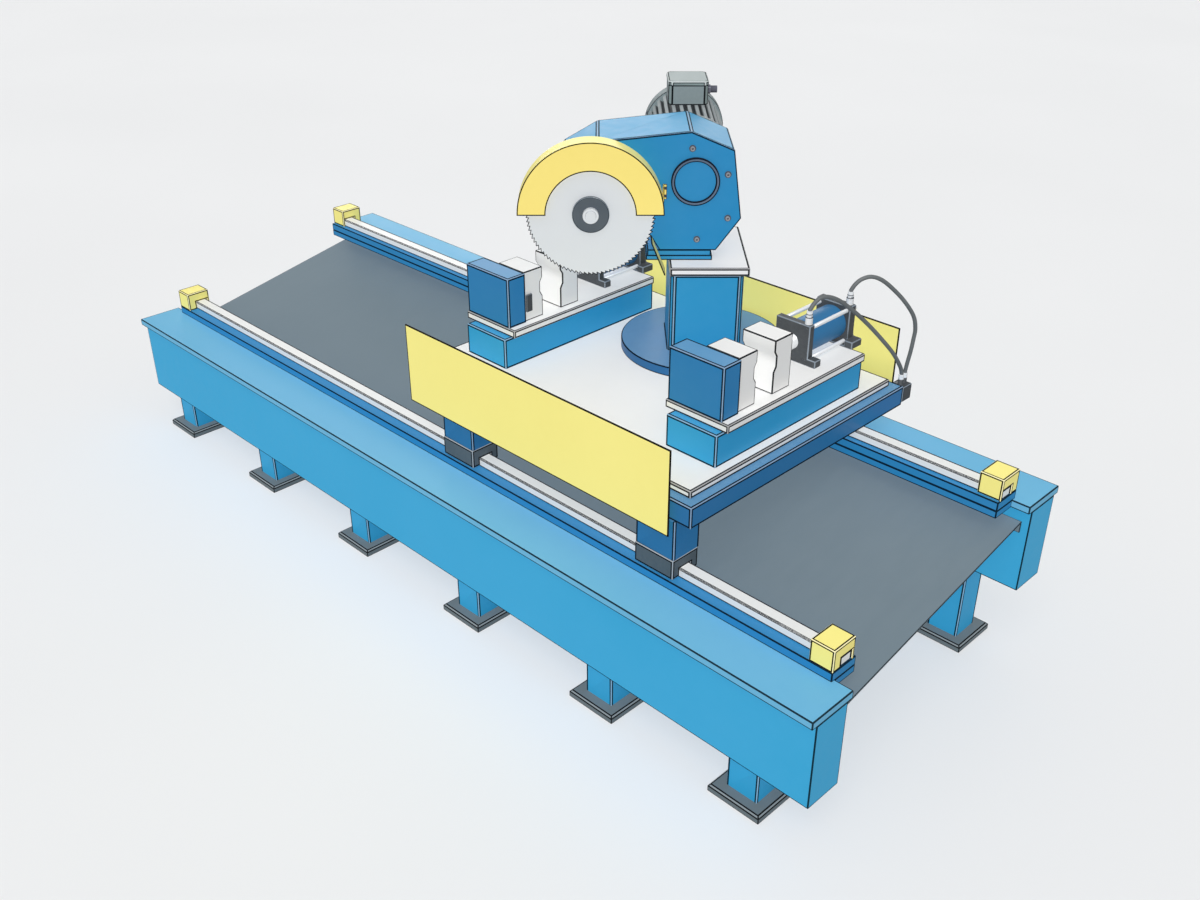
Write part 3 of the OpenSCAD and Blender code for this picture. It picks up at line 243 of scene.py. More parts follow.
def enamel(name, colour, top_light):
    """Sprayed machine enamel: drifting tone, fine orange peel, faces that look up painted paler as
    painted top light.
    """
    gloss, drift, peel = 0.42, 0.035, 0.0003
    paint = Finish(name, Metallic=0.0, Specular_IOR_Level=0.2)
    cloud = paint.noise(1.7, 4.0)
    grain = paint.noise(26.0, 3.0)
    tone = paint.blend(cloud * 0.75 + grain * 0.25, darker(colour, drift * 2), lighter(colour, drift))
    # Upward faces are blended towards a pale blue, varied by the grain, as painted top light
    if top_light:
        top_light_share = paint.upward() * (top_light * 0.8 + grain * (top_light * 0.4))
        tone = paint.blend(top_light_share, tone, TOP_LIGHT_COLOUR)
    paint.wear(Base_Color=tone)
    paint.wear(Roughness=gloss + (grain - 0.5) * 0.22 + (cloud - 0.5) * 0.18)
    paint.relief(paint.noise(420.0, 2.0), 0.25, peel)
    return paint.material


def edge_enamel(name, colour):
    """Enamel on a broken edge: paler, rubbed thin in places."""
    paint = Finish(name, Metallic=0.0, Specular_IOR_Level=0.3)
    rub = paint.noise(34.0, 5.0, roughness=0.65)
    pale = paint.blend(rub, darker(colour, 0.06), lighter(colour, 0.12))
    paint.wear(Base_Color=paint.blend(rub.above(0.66) * 0.25, pale, linear(204, 206, 206)))
    paint.wear(Roughness=0.4 + rub * 0.2)
    return paint.material


def seam_dark(name, colour):
    """A dark line along an edge, darker in patches."""
    paint = Finish(name, Metallic=0.0, Specular_IOR_Level=0.1)
    mask = paint.noise(48.0, 3.0)
    paint.wear(Base_Color=paint.blend(mask, darker(colour, 0.25), colour))
    paint.wear(Roughness=0.6 + mask * 0.25)
    return paint.material


def ground_steel(name, colour, metallic, gloss, along=(2.0, 160.0, 160.0), marks=0.1):
    """Steel ground along one direction: fine lines and faint stains."""
    steel = Finish(name, Metallic=metallic)
    lines = steel.noise(1.0, 3.0, steel.stretched(along))
    stain = steel.noise(3.2, 4.0)
    tone = lines * 0.6 + stain * 0.4
    steel.wear(Base_Color=steel.blend(tone, darker(colour, marks), lighter(colour, marks)))
    steel.wear(Roughness=gloss + (lines - 0.5) * 0.25 + (stain - 0.5) * 0.1)
    steel.relief(lines, 0.12, 0.0002)
    return steel.material


def turned_steel(name, colour, centre, metallic, gloss=0.28, pitch=1400.0, marks=0.1):
    """Steel turned or ground in rings about an axis of the head."""
    steel = Finish(name, Metallic=metallic, Specular_IOR_Level=0.35)
    rings = steel.add("ShaderNodeTexNoise", {"noise_dimensions": "1D"}, {
        "W": steel.radius_about(centre) * pitch, "Scale": 1.0, "Detail": 3.0})
    stain = steel.noise(9.0, 4.0)
    tone = rings * 0.6 + stain * 0.4
    steel.wear(Base_Color=steel.blend(tone, darker(colour, marks), lighter(colour, marks)))
    steel.wear(Roughness=gloss + (rings - 0.5) * 0.2 + (stain - 0.5) * 0.12)
    steel.relief(rings, 0.1, 0.0002)
    return steel.material


def cast_paint(name, colour, gloss=0.55):
    """Paint over sand-cast iron or aluminium: coarse skin and darker pits."""
    iron = Finish(name, Metallic=0.0, Specular_IOR_Level=0.3)
    skin = iron.noise(95.0, 4.0, roughness=0.6)
    cloud = iron.noise(4.0, 3.0)
    tone = skin * 0.5 + cloud * 0.5
    iron.wear(Base_Color=iron.blend(tone, darker(colour, 0.16), lighter(colour, 0.08)))
    iron.wear(Roughness=gloss + (skin - 0.5) * 0.25)
    iron.relief(skin, 0.35, 0.0006)
    return iron.material


def cooling_cast(name, root, tip):
    """Cast cooling ribs about the motor's axis: dark at the root as painted shade between the ribs,
    pale at the tips as a painted highlight.
    """
    cast = Finish(name, Metallic=0.0, Specular_IOR_Level=0.3)
    skin = cast.noise(110.0, 4.0, roughness=0.6)
    # Below this radius the ribs' roots are painted dark as painted shade; above it the tips are pale as
    # a painted highlight
    dark_radius, spread = 0.153, 0.004
    rise = (cast.radius_about(MOTOR_CENTRE) - dark_radius) / spread
    cast.wear(Base_Color=cast.blend(rise + (skin - 0.5) * 0.3, root, tip))
    cast.wear(Roughness=0.6 + (skin - 0.5) * 0.25)
    cast.relief(skin, 0.35, 0.0006)
    return cast.material


def rolled_sheet(name, colour):
    """Painted tray sheet, scuffed by chips in the direction in which they are raked."""
    tray = Finish(name, Metallic=0.0, Specular_IOR_Level=0.25)
    cloud = tray.noise(1.3, 5.0)
    scuff = tray.noise(1.0, 4.0, tray.stretched((30.0, 3.0, 30.0)))
    tone = cloud * 0.7 + scuff * 0.3
    tray.wear(Base_Color=tray.blend(tone, darker(colour, 0.1), lighter(colour, 0.05)))
    tray.wear(Roughness=0.5 + (scuff - 0.5) * 0.3)
    tray.relief(scuff, 0.15, 0.0004)
    return tray.material


def hose_rubber(name, colour):
    """Matt rubber or plastic with a fine skin."""
    rubber = Finish(name, Metallic=0.0, Specular_IOR_Level=0.3)
    skin = rubber.noise(260.0, 2.0)
    cloud = rubber.noise(14.0, 3.0)
    rubber.wear(Base_Color=rubber.blend(cloud, darker(colour, 0.18), lighter(colour, 0.06)))
    rubber.wear(Roughness=0.5 + (skin - 0.5) * 0.2)
    rubber.relief(skin, 0.3, 0.0003)
    return rubber.material


# Face colour of each paint, and how much painted top light shows on its upward faces
PAINTS = {
    "beam": ((46, 168, 218), 0.0),
    # The flange is painted paler than the beam, as painted top light
    "flange": ((102, 180, 219), 0.0),
    "leg": ((38, 162, 214), 0.0),
    "plate": ((22, 128, 186), 0.0),
    "frame": ((22, 107, 162), 0.27),
    "post": ((18, 107, 160), 0.10),
    "vise": ((26, 149, 204), 0.0),
    "jaw": ((20, 119, 177), 0.26),
    "barrel": ((30, 107, 156), 0.0),
    "housing": ((16, 128, 182), 0.0),
    # The shell is painted paler than the housing's plate, as painted top light
    "shell": ((58, 155, 202), 0.0),
    "column": ((26, 137, 187), 0.0),
    "turntable": ((18, 92, 146), 0.25),
    "sole": ((30, 132, 182), 0.0),
    "guard": ((255, 243, 140), 0.0),
    "shield": ((242, 221, 121), 0.0),
    "white": ((233, 233, 232), 0.0),
    "cap": ((225, 225, 226), 0.0),
    "foot": ((99, 112, 118), 0.0),
    "bevel": ((128, 138, 143), 0.0),
}
STRIP_GREY = linear(150, 166, 182)
# The pale blue of the painted top light on upward faces
TOP_LIGHT_COLOUR = linear(150, 200, 230)


def shared_materials():
    """Face, broken edge and seam line for each paint, and the bare metals."""
    made = {}

    def family(key, face, edge, seam):
        made[key] = (face, edge_enamel(key + "_edge", edge), seam_dark(key + "_seam", seam))

    for key, (rgb, top_light) in PAINTS.items():
        colour = linear(*rgb)
        edge = mixed(colour, STRIP_GREY, 0.5)
        seam = darker(colour, 0.93)
        if key in ("white", "cap"):
            edge, seam = linear(150, 151, 153), linear(40, 42, 46)
        elif key in ("guard", "shield"):
            edge, seam = linear(250, 240, 178), linear(26, 22, 12)
        family(key, enamel(key + "_enamel", colour, top_light), edge, seam)
    iron = linear(33, 41, 48)
    family("iron", cast_paint("dark_iron", iron), mixed(iron, STRIP_GREY, 0.45), linear(22, 26, 30))
    block = linear(62, 78, 88)
    family("block", cast_paint("block_iron", block), linear(142, 150, 158), linear(16, 20, 24))
    motor = linear(121, 136, 139)
    family("motor", cast_paint("motor_cast", motor), linear(172, 182, 182), linear(20, 24, 28))
    lid = linear(126, 143, 143)
    family("lid", cast_paint("lid_cast", lid, 0.45), linear(182, 192, 192), linear(26, 30, 34))
    tray = linear(107, 124, 134)
    family("tray", rolled_sheet("tray_sheet", tray), linear(122, 132, 138), linear(48, 56, 62))
    rail = linear(236, 237, 235)
    family("rail", ground_steel("rail_steel", rail, 0.05, 0.4, marks=0.025),
           linear(196, 200, 206), linear(36, 42, 50))
    blade = linear(212, 216, 220)
    family("blade", turned_steel("blade_steel", blade, BLADE_CENTRE, 0.06, 0.36, marks=0.03),
           linear(110, 116, 122), linear(26, 30, 36))
    rod = linear(228, 231, 234)
    family("rod", ground_steel("bright_rod", rod, 0.15, 0.25, (160.0, 2.0, 160.0)),
           linear(188, 194, 200), linear(40, 46, 54))
    shaft = linear(176, 180, 184)
    family("shaft", turned_steel("shaft_steel", shaft, BLADE_CENTRE, 0.85),
           linear(150, 156, 162), linear(60, 66, 72))
    hub = linear(54, 68, 80)
    family("hub", turned_steel("hub_steel", hub, BLADE_CENTRE, 0.1, 0.4, 900.0),
           linear(84, 100, 112), linear(20, 26, 32))
    ring = linear(66, 90, 118)
    family("ring", turned_steel("cover_ring", ring, MOTOR_CENTRE, 0.1, 0.42, 900.0),
           linear(120, 140, 164), linear(8, 18, 34))
    screw = linear(138, 140, 148)
    family("screw", cast_paint("screw_head", screw, 0.4), linear(160, 166, 172), linear(20, 24, 30))
    washer = linear(52, 60, 74)
    family("washer", cast_paint("washer_dark", washer, 0.4), linear(110, 118, 126), linear(20, 24, 30))
    # Black of the bracket screws, and of the painted shade in the bolts' sockets
    socket = linear(28, 32, 40)
    family("socket", cast_paint("socket_black", socket, 0.6), linear(60, 66, 72), linear(14, 18, 22))
    rubber = linear(92, 97, 99)
    made["rubber"] = (hose_rubber("hose_rubber", rubber),)
    gland = linear(86, 88, 102)
    family("gland", hose_rubber("gland_plastic", gland), linear(130, 132, 146), linear(30, 32, 40))
    # Dark roots as painted shade, pale tips as a painted highlight
    made["ribs"] = (cooling_cast("motor_ribs", linear(44, 50, 54), linear(150, 158, 160)),)
    return made


# Pieces

def on_node(name, form, materials, node, smooth=25.0):
    """A finished piece at the origin, from a bmesh form or a plain mesh.

    It rides with a CAD node's body.
    """
    mesh = form
    if isinstance(form, bmesh.types.BMesh):
        mesh = bpy.data.meshes.new(name)
        form.to_mesh(mesh)
        form.free()
        for material in materials:
            mesh.materials.append(material)
    mesh.shade_smooth()
    mesh.set_sharp_from_angle(angle=math.radians(smooth))
    piece = bpy.data.objects.new(name, mesh)
    bpy.context.scene.collection.objects.link(piece)
    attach(piece, BODY_OF[node])
    return piece


# Material numbers of a dressed form
FACE, FLAT, SEAM, SECOND = 0, 1, 2, 3
# Flats thinner than this are all seam
THIN_FLAT = 0.002
# Edges no longer than this are steps round a bore
BORE_STEP = 0.0145
# What lies further back is the rear of the vise cylinders; what lies higher is the top of the lid
REAR_Y = 0.5
LID_Z = 1.89


def upright(edge):
    """True for an edge that stands."""
    return abs(edge.verts[1].co.z - edge.verts[0].co.z) > 0.9 * edge.calc_length()


def rear_end(edge):
    """True for an edge at the rear end of a tie rod."""
    return min(end.co.y for end in edge.verts) > REAR_Y


def lid_top(edge):
    """True for an edge that touches the top of the terminal box's lid."""
    return max(end.co.z for end in edge.verts) > LID_Z


def on_slope(face):
    """True for a bevel that looks half up."""
    return 0.3 < face.normal.z < 0.9


def draw_seam(form, faces, line):
    """Draws a dark line round each connected group of faces, inside its outline."""
    rims = bmesh.ops.inset_region(form, faces=faces, thickness=line, use_boundary=True,
                                  use_even_offset=True)
    for face in rims["faces"]:
        face.material_index = SEAM


def break_edges(form, width, line, sharp=35.0, picks=None):
    """Breaks the outer edges of a closed form with a flat of that width, between two seam lines.

    A thin flat takes the seam's own colour, so that the edge shows as one dark line. Without a
    line, the flat stays pale.
    """
    edges = [edge for edge in form.edges
             if len(edge.link_faces) == 2 and edge.is_convex
             and edge.calc_face_angle() > math.radians(sharp)
             and (picks is None or picks(edge))]
    bmesh.ops.bevel(form, geom=edges, offset=width, offset_type="OFFSET", segments=1, profile=0.5,
                    affect="EDGES", clamp_overlap=False, material=FLAT)
    if line <= 0:
        return
    faces = [face for face in form.faces if face.material_index != FLAT]
    for face in form.faces:
        if face.material_index == FLAT and width < THIN_FLAT:
            face.material_index = SEAM
    draw_seam(form, faces, line)


def plate_form(node):
    """A copy of a CAD node's mesh with its loose triangles joined at their corners."""
    form = bmesh.new()
    form.from_mesh(frame["nodes"][node].data)
    bmesh.ops.remove_doubles(form, verts=form.verts, dist=0.00002)
    for face in form.faces:
        face.material_index = FACE
    return form


def stand_for(node, form, finish, second=None, smooth=25.0):
    """The finished form takes the place of its CAD node."""
    materials = list(MATERIALS[finish]) + ([MATERIALS[second][0]] if second else [])
    piece = on_node(node + "_finished", form, materials, node, smooth)
    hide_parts(node)


def long_edge(edge):
    """True for a plate's own edges, false for the short steps round a bore."""
    return edge.calc_length() > BORE_STEP


def sheet(node, finish, line, picks, second=None, on_second=None):
    """Replaces a thin CAD sheet by one with dark cut edges and a line round its picked flat faces.

    Some of its other faces may take a second paint.
    """
    form = plate_form(node)
    for face in form.faces:
        face.material_index = FACE if picks(face) else SEAM
        if on_second and on_second(face):
            face.material_index = SECOND
    draw_seam(form, [face for face in form.faces if face.material_index == FACE], line)
    stand_for(node, form, finish, second)


def across_bed(face):
    """Faces that look across the bed."""
    return abs(face.normal.y) > 0.9


def across_back(face):
    """Faces that look along the head's back or against it."""
    return abs(face.normal.dot(HEAD_BACK)) > 0.9


def on_corner(face):
    """Faces that stand at 45 degrees to the head's back."""
    return min(abs(face.normal.dot(HEAD_BACK)), abs(face.normal.dot(HEAD_RIGHT))) > 0.5


def dressed(node, finish, width, line, picks=None, second=None, on_second=None):
    """Replaces a CAD node by its form with broken edges; some faces may take a second paint."""
    form = plate_form(node)
    for face in form.faces:
        face.material_index = SECOND if on_second and on_second(face) else FACE
    break_edges(form, width, line, picks=picks)
    stand_for(node, form, finish, second)


def paint_node(node, material):
    """A CAD node that stays gets a better material."""
    data = frame["nodes"][node].data
    if not data.materials:
        data.materials.append(material)
    for slot_number in range(len(data.materials)):
        data.materials[slot_number] = material


def turned_form(profile, place, sides):
    """A closed turned form: points as radius and height, each with the material of the next band."""
    form = bmesh.new()
    rings = []
    for radius, height, _ in profile:
        if radius == 0:
            rings.append([form.verts.new(place @ Vector((0.0, 0.0, height)))])
            continue
        angles = [2 * math.pi * i / sides for i in range(sides)]
        spots = [Vector((radius * math.cos(a), radius * math.sin(a), height)) for a in angles]
        rings.append([form.verts.new(place @ spot) for spot in spots])
    bands = list(zip(rings, rings[1:] + rings[:1], profile))
    if len(rings[0]) == 1:
        bands.pop()
    for lower, upper, (_, _, material) in bands:
        for i in range(sides):
            k = (i + 1) % sides
            corners = [lower[i % len(lower)], lower[k % len(lower)],
                       upper[k % len(upper)], upper[i % len(upper)]]
            face = form.faces.new(list(dict.fromkeys(corners)))
            face.material_index = material
    bmesh.ops.recalc_face_normals(form, faces=form.faces)
    return form


def block_form(low, high, place, width, line):
    """A block between two corners of a frame, with broken edges."""
    form = bmesh.new()
    middle = [(a + b) / 2 for a, b in zip(low, high)]
    size = [b - a for a, b in zip(low, high)]
    box = Matrix.Translation(middle) @ Matrix.Diagonal((*size, 1.0))
    bmesh.ops.create_cube(form, size=1.0, matrix=box)
    break_edges(form, width, line)
    bmesh.ops.transform(form, matrix=place, verts=form.verts)
    return form


# Repeated pieces

class Pattern(Builder):
    """A Geometry Nodes tree with named inputs; what it makes becomes one plain mesh."""

    def __init__(self, name, sizes):
        super().__init__(bpy.data.node_groups.new(name, "GeometryNodeTree"))
        self.name = name
        sockets = self.tree.interface
        sockets.new_socket("Places", in_out="INPUT", socket_type="NodeSocketGeometry")
        sockets.new_socket("Finish", in_out="INPUT", socket_type="NodeSocketMaterial")
        for size, value in sizes.items():
            kind = "NodeSocketInt" if isinstance(value, int) else "NodeSocketFloat"
            sockets.new_socket(size, in_out="INPUT", socket_type=kind).default_value = value
        sockets.new_socket("Made", in_out="OUTPUT", socket_type="NodeSocketGeometry")
        self.inputs = self.tree.nodes.new("NodeGroupInput")

    def given(self, name):
        return Value(self, self.inputs.outputs[name])

    def end(self, made):
        real = self.add("GeometryNodeRealizeInstances", None, {"Geometry": made})
        coated = self.add("GeometryNodeSetMaterial", None, {
            "Geometry": real, "Material": self.given("Finish")})
        result = self.tree.nodes.new("NodeGroupOutput")
        self.tree.links.new(coated.socket, result.inputs["Made"])

    def make(self, name, finish, points, place, **sizes):
        """Runs the tree on points in a flat frame and gives one mesh, set at its place."""
        start = bpy.data.meshes.new(name + "_places")
        start.from_pydata([tuple(point) for point in points], [], [])
        holder = bpy.data.objects.new(name + "_places", start)
        bpy.context.scene.collection.objects.link(holder)
        modifier = holder.modifiers.new(self.name, "NODES")
        modifier.node_group = self.tree
        values = {size.replace("_", " "): value for size, value in sizes.items()}
        values["finish"] = finish
        for item in self.tree.interface.items_tree:
            if item.item_type == "SOCKET" and item.in_out == "INPUT" and item.name.lower() in values:
                modifier[item.identifier] = values[item.name.lower()]
        graph = bpy.context.evaluated_depsgraph_get()
        mesh = bpy.data.meshes.new_from_object(holder.evaluated_get(graph), depsgraph=graph)
        bpy.data.objects.remove(holder)
        mesh.transform(place)
        return mesh


def fastener_pattern():
    """A screw head, nut or washer on each point: a prism with a recess, its foot on the point."""
    tree = Pattern("fasteners", {"Head sides": 24, "Head radius": 0.008, "Head height": 0.008,
                                 "Socket sides": 6, "Socket radius": 0.004, "Socket depth": 0.004})
    height = tree.given("Head height")
    head = tree.add("GeometryNodeMeshCylinder", {"fill_type": "NGON"}, {
        "Vertices": tree.given("Head sides"), "Radius": tree.given("Head radius"), "Depth": height})
    socket = tree.add("GeometryNodeMeshCylinder", {"fill_type": "NGON"}, {
        "Vertices": tree.given("Socket sides"), "Radius": tree.given("Socket radius"),
        "Depth": tree.given("Socket depth") * 2})
    lift = tree.add("ShaderNodeCombineXYZ", None, {2: height * 0.5})
    socket = tree.add("GeometryNodeTransform", None, {"Geometry": socket, "Translation": lift})
    cut = tree.add("GeometryNodeMeshBoolean", {"operation": "DIFFERENCE"}, {0: head, 1: socket})
    whole = tree.add("GeometryNodeTransform", None, {"Geometry": cut, "Translation": lift})
    tree.end(tree.add("GeometryNodeInstanceOnPoints", None, {
        "Points": tree.given("Places"), "Instance": whole}))
    return tree


def rib_pattern():
    """Tapered cooling ribs, sunk a little into a round barrel that stands on the first flange."""
    sunk, taper = 0.002, -0.15
    tree = Pattern("cooling_ribs", {"Ribs": 32, "Barrel radius": 0.144, "Rib height": 0.016,
                                    "Rib width": 0.016, "Flange radius": 0.168, "Flange": 0.022,
                                    "Length": 0.455})
    radius, height, flange = tree.given("Barrel radius"), tree.given("Rib height"), tree.given("Flange")
    run = tree.given("Length") - flange
    size = tree.add("ShaderNodeCombineXYZ", None, {
        0: height + 2 * sunk, 1: tree.given("Rib width"), 2: run})
    bar = tree.add("GeometryNodeMeshCube", None, {"Size": size})
    spot = tree.add("GeometryNodeInputPosition")
    outer = tree.add("ShaderNodeSeparateXYZ", None, {0: spot}, output="X").above(0.0)
    across = tree.add("ShaderNodeSeparateXYZ", None, {0: spot}, output="Y")
    pinch = tree.add("ShaderNodeCombineXYZ", None, {1: across * outer * taper})
    bar = tree.add("GeometryNodeSetPosition", None, {"Geometry": bar, "Offset": pinch})
    out = tree.add("ShaderNodeCombineXYZ", None, {
        0: radius + height * 0.5 - sunk, 2: flange + run * 0.5})
    bar = tree.add("GeometryNodeTransform", None, {"Geometry": bar, "Translation": out})
    seats = tree.add("GeometryNodeMeshCircle", None, {"Vertices": tree.given("Ribs"), "Radius": 0.0})
    turn = tree.add("GeometryNodeInputIndex") * (2 * math.pi) / tree.given("Ribs")
    angles = tree.add("ShaderNodeCombineXYZ", None, {2: turn})
    ribs = tree.add("GeometryNodeInstanceOnPoints", None, {
        "Points": seats, "Instance": bar, "Rotation": angles})
    parts = [ribs]
    for wide, long in ((radius, tree.given("Length")), (tree.given("Flange radius"), flange)):
        barrel = tree.add("GeometryNodeMeshCylinder", {"fill_type": "NGON"}, {
            "Vertices": 96, "Radius": wide, "Depth": long})
        lift = tree.add("ShaderNodeCombineXYZ", None, {2: long * 0.5})
        parts.append(tree.add("GeometryNodeTransform", None, {"Geometry": barrel, "Translation": lift}))
    tree.end(tree.add("GeometryNodeJoinGeometry", None, {"Geometry": parts}))
    return tree


MATERIALS = shared_materials()
FASTENERS = fastener_pattern()
RIBS = rib_pattern()

# A broken edge shows as a pale strip between two seam lines, as one dark line, or hardly at all
STRIP = (0.0030, 0.0064)
LINE = (0.0012, 0.0032)
PLAIN = (0.0010, 0.0)

# Node, paint, width of the broken edge and of its seam lines, which edges, second paint and its faces
PLATES = [
    ("near_beam", "beam", *LINE),
    ("far_beam", "beam", *LINE),
    ("beam_flanges", "flange", *LINE),
    ("lower_plates", "plate", *LINE),
    ("upper_plates", "plate", *LINE),
    ("rails", "rail", 0.0012, 0.0040),
    ("end_stops", "guard", 0.0026, 0.0052, long_edge),
    ("legs", "leg", *STRIP, upright),
    ("foot_plates", "foot", 0.0010, 0.0020, None, "bevel", on_slope),
    ("chip_tray", "tray", 0.0008, 0.0016),
    ("carriage_frame", "frame", *STRIP),
    ("carriage_table", "white", *STRIP),
    ("near_posts", "post", *STRIP, upright),
    ("far_posts", "post", *STRIP, upright),
    ("bearing_blocks", "block", 0.0030, 0.0058),
    ("guard_spacers", "iron", *PLAIN),
    ("vise_bases", "vise", *STRIP),
    ("slide_plates", "white", 0.0028, 0.0052),
    ("fixed_jaws", "jaw", *STRIP),
    ("jaw_inserts", "white", *LINE),
    ("jaw_key", "iron", *PLAIN),
    ("cylinder_heads", "iron", 0.0034, 0.0, long_edge),
    ("cylinder_barrels", "barrel", *PLAIN),
    ("port_fittings", "rod", 0.0012, 0.0010),
    ("hose_block", "iron", 0.0030, 0.0024, long_edge),
    ("left_jaw", "white", *LINE),
    ("left_piston", "rod", *PLAIN),
    ("right_jaw", "white", *LINE),
    ("right_piston", "rod", *PLAIN),
    ("turntable", "turntable", *LINE),
    ("column", "column", 0.0030, 0.0060),
    ("column_cap", "cap", 0.0028, 0.0060),
    ("sole_plates", "sole", *LINE),
    ("housing_plate", "housing", 0.0010, 0.0036, long_edge),
    ("fan_cowl", "motor", 0.0008, 0.0014),
    ("cable_gland", "gland", *PLAIN),
    ("blade_flange", "hub", 0.0022, 0.0016),
    ("spindle_nut", "blade", *PLAIN),
]
for plate in PLATES:
    dressed(*plate)
dressed("tie_rods", "rod", *PLAIN, rear_end, "iron", lambda face: face.normal.y < -0.9)
dressed("terminal_box", "motor", 0.0006, 0.0038, None, "lid", on_corner)
dressed("terminal_lid", "lid", 0.0040, 0.0036, lid_top)
for guard in ("near_guard", "far_guard"):
    sheet(guard, "guard", 0.0045, across_bed)

for hidden, finish in (("swivel_hub", "iron"), ("hold_down_ring", "iron"), ("guide_post", "rail"),
                       ("feed_barrel", "barrel"), ("feed_piston", "rod"),
                       ("spindle", "blade"), ("motor_shaft", "shaft"), ("idler_gear", "shaft")):
    paint_node(hidden, MATERIALS[finish][0])


# Head

def across_head(edge):
    """How far an edge turns from the head's back: 0 for one that runs along it."""
    run = (edge.verts[1].co - edge.verts[0].co).normalized()
    return 1 - abs(run.dot(HEAD_BACK))


def folded_shell():
    """The housing's shell: pale strips along its bends, seam lines round the faces between them."""
    strip, line, least_bend, smooth = 0.0034, 0.0050, 12.0, 5.8
    form = plate_form("gear_housing")
    break_edges(form, strip, 0.0, least_bend, lambda edge: across_head(edge) < 0.1)
    form.normal_update()
    draw_seam(form, [face for face in form.faces
                     if face.material_index == FACE and abs(face.normal.dot(HEAD_BACK)) < 0.1], line)
    stand_for("gear_housing", form, "shell", smooth=smooth)


def on_rim(face):
    """Faces of the blade guard that stand around the blade's axis and look away from it."""
    away = face.calc_center_median() - BLADE_CENTRE
    away -= HEAD_BACK * away.dot(HEAD_BACK)
    outside = away.length > GUARD_RADIUS - 0.010
    return abs(face.normal.dot(HEAD_BACK)) < 0.3 and outside and face.normal.dot(away) > 0


def fasteners(name, finish, points, place, node, **sizes):
    """Screws, nuts or washers on points of a flat frame, riding with a CAD node."""
    mesh = FASTENERS.make(name, MATERIALS[finish][0], points, place, **sizes)
    return on_node(name, mesh, None, node, 30.0)


def cover_and_bolts():
    """The motor's round cover in its dark ring, and the four capped bolts on the housing's front, each
    with a dark hex piece in its socket as painted shade.
    """
    ring, face, depth, floor = 0.093, 0.077, 0.012, 0.005
    place = facing(MOTOR_CENTRE + HEAD_BACK * HOUSING_FRONT, -HEAD_BACK)
    profile = [(0.0, 0.0, 2), (ring, 0.0, 2), (ring, depth - 0.0012, 2), (ring - 0.0012, depth, 2),
               (ring - 0.0045, depth, 0), (face + 0.0048, depth, 2), (face + 0.0012, depth - 0.0015, 2),
               (face, floor, 1), (0.0, floor, 1)]
    materials = [MATERIALS["ring"][0], MATERIALS["housing"][0], MATERIALS["ring"][2]]
    cover = on_node("round_cover_finished", turned_form(profile, place, 96), materials, "round_cover")
    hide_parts("round_cover")
    front = facing(head_point(0.0, HOUSING_FRONT, HOUSING_FOOT), -HEAD_BACK)
    spots = [(-0.070, 0.403, 0.0), (0.068, 0.303, 0.0), (0.075, 0.131, 0.0), (-0.041, 0.0455, 0.0)]
    washers = fasteners("bolt_washers", "washer", spots, front, "housing_bolts", head_sides=32,
                        head_radius=0.013, head_height=0.003, socket_sides=32,
                        socket_radius=0.0095, socket_depth=0.0004)
    heads = fasteners("bolt_heads", "screw", spots, front, "housing_bolts", head_sides=24,
                      head_radius=0.0085, head_height=0.010, socket_radius=0.0048,
                      socket_depth=0.005)
    # A dark hex piece in each bolt's socket, as painted shade in the recess
    socket_shade = fasteners("bolt_socket_shade", "socket", spots, front, "housing_bolts", head_sides=6,
                       head_radius=0.0047, head_height=0.0055, socket_radius=0.0015,
                       socket_depth=0.001)
    for piece in (washers, heads, socket_shade):
        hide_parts("housing_bolts")


def guard_bracket():
    """The angle that bolts the blade guard to the housing, with its two screws."""
    place = facing(head_point(0.0, HOUSING_FRONT, 0.0), -HEAD_BACK)
    rim = BLADE_RIGHT + GUARD_RADIUS
    foot_z, top_z, foot_depth, leg_depth = 1.575, 1.634, 0.005, 0.046
    for name, left, right, depth in (("bracket_foot", rim - 0.006, rim + 0.010, foot_depth),
                                     ("bracket_leg", rim - 0.0065, rim - 0.001, leg_depth)):
        form = block_form((left, foot_z, 0.0), (right, top_z, depth), place, 0.0012, 0.0008)
        on_node(name, form, MATERIALS["shield"], "blade_guard")
    spots = [(rim + 0.0045, z, foot_depth) for z in (1.589, 1.620)]
    fasteners("bracket_screws", "socket", spots, place, "blade_guard", head_radius=0.0055,
              head_height=0.006, socket_radius=0.0032, socket_depth=0.003)


def motor_details():
    """The motor's ribbed body and the screws of its cowl."""
    back = facing(MOTOR_CENTRE + HEAD_BACK * HOUSING_BACK, HEAD_BACK)
    ribs = RIBS.make("motor_body_ribbed", MATERIALS["ribs"][0], [], back, length=MOTOR_LENGTH)
    ribs = on_node("motor_body_ribbed", ribs, None, "motor_body")
    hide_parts("motor_body")
    cowl_radius, band = 0.1685, 0.014
    for i, turn in enumerate((20.0, 110.0, 200.0, 290.0)):
        angle = math.radians(turn)
        out = back.to_3x3() @ Vector((math.cos(angle), math.sin(angle), 0.0))
        behind = HEAD_BACK * (HOUSING_BACK + MOTOR_LENGTH + band)
        spot = MOTOR_CENTRE + behind + out * cowl_radius
        fasteners("cowl_screw_%d" % i, "washer", [(0.0, 0.0, 0.0)], facing(spot, out), "fan_cowl",
                  head_radius=0.006, head_height=0.0035, socket_radius=0.003, socket_depth=0.002)


folded_shell()
# The rim's outward faces take the paler guard yellow, as a painted highlight
sheet("blade_guard", "shield", 0.0044, across_back, "guard", on_rim)
sheet("saw_blade", "blade", 0.0028, across_back)
sheet("deflector", "guard", 0.0030, lambda face: abs(face.normal.dot(HEAD_RIGHT)) > 0.5)
cover_and_bolts()
guard_bracket()
motor_details()


# Vises

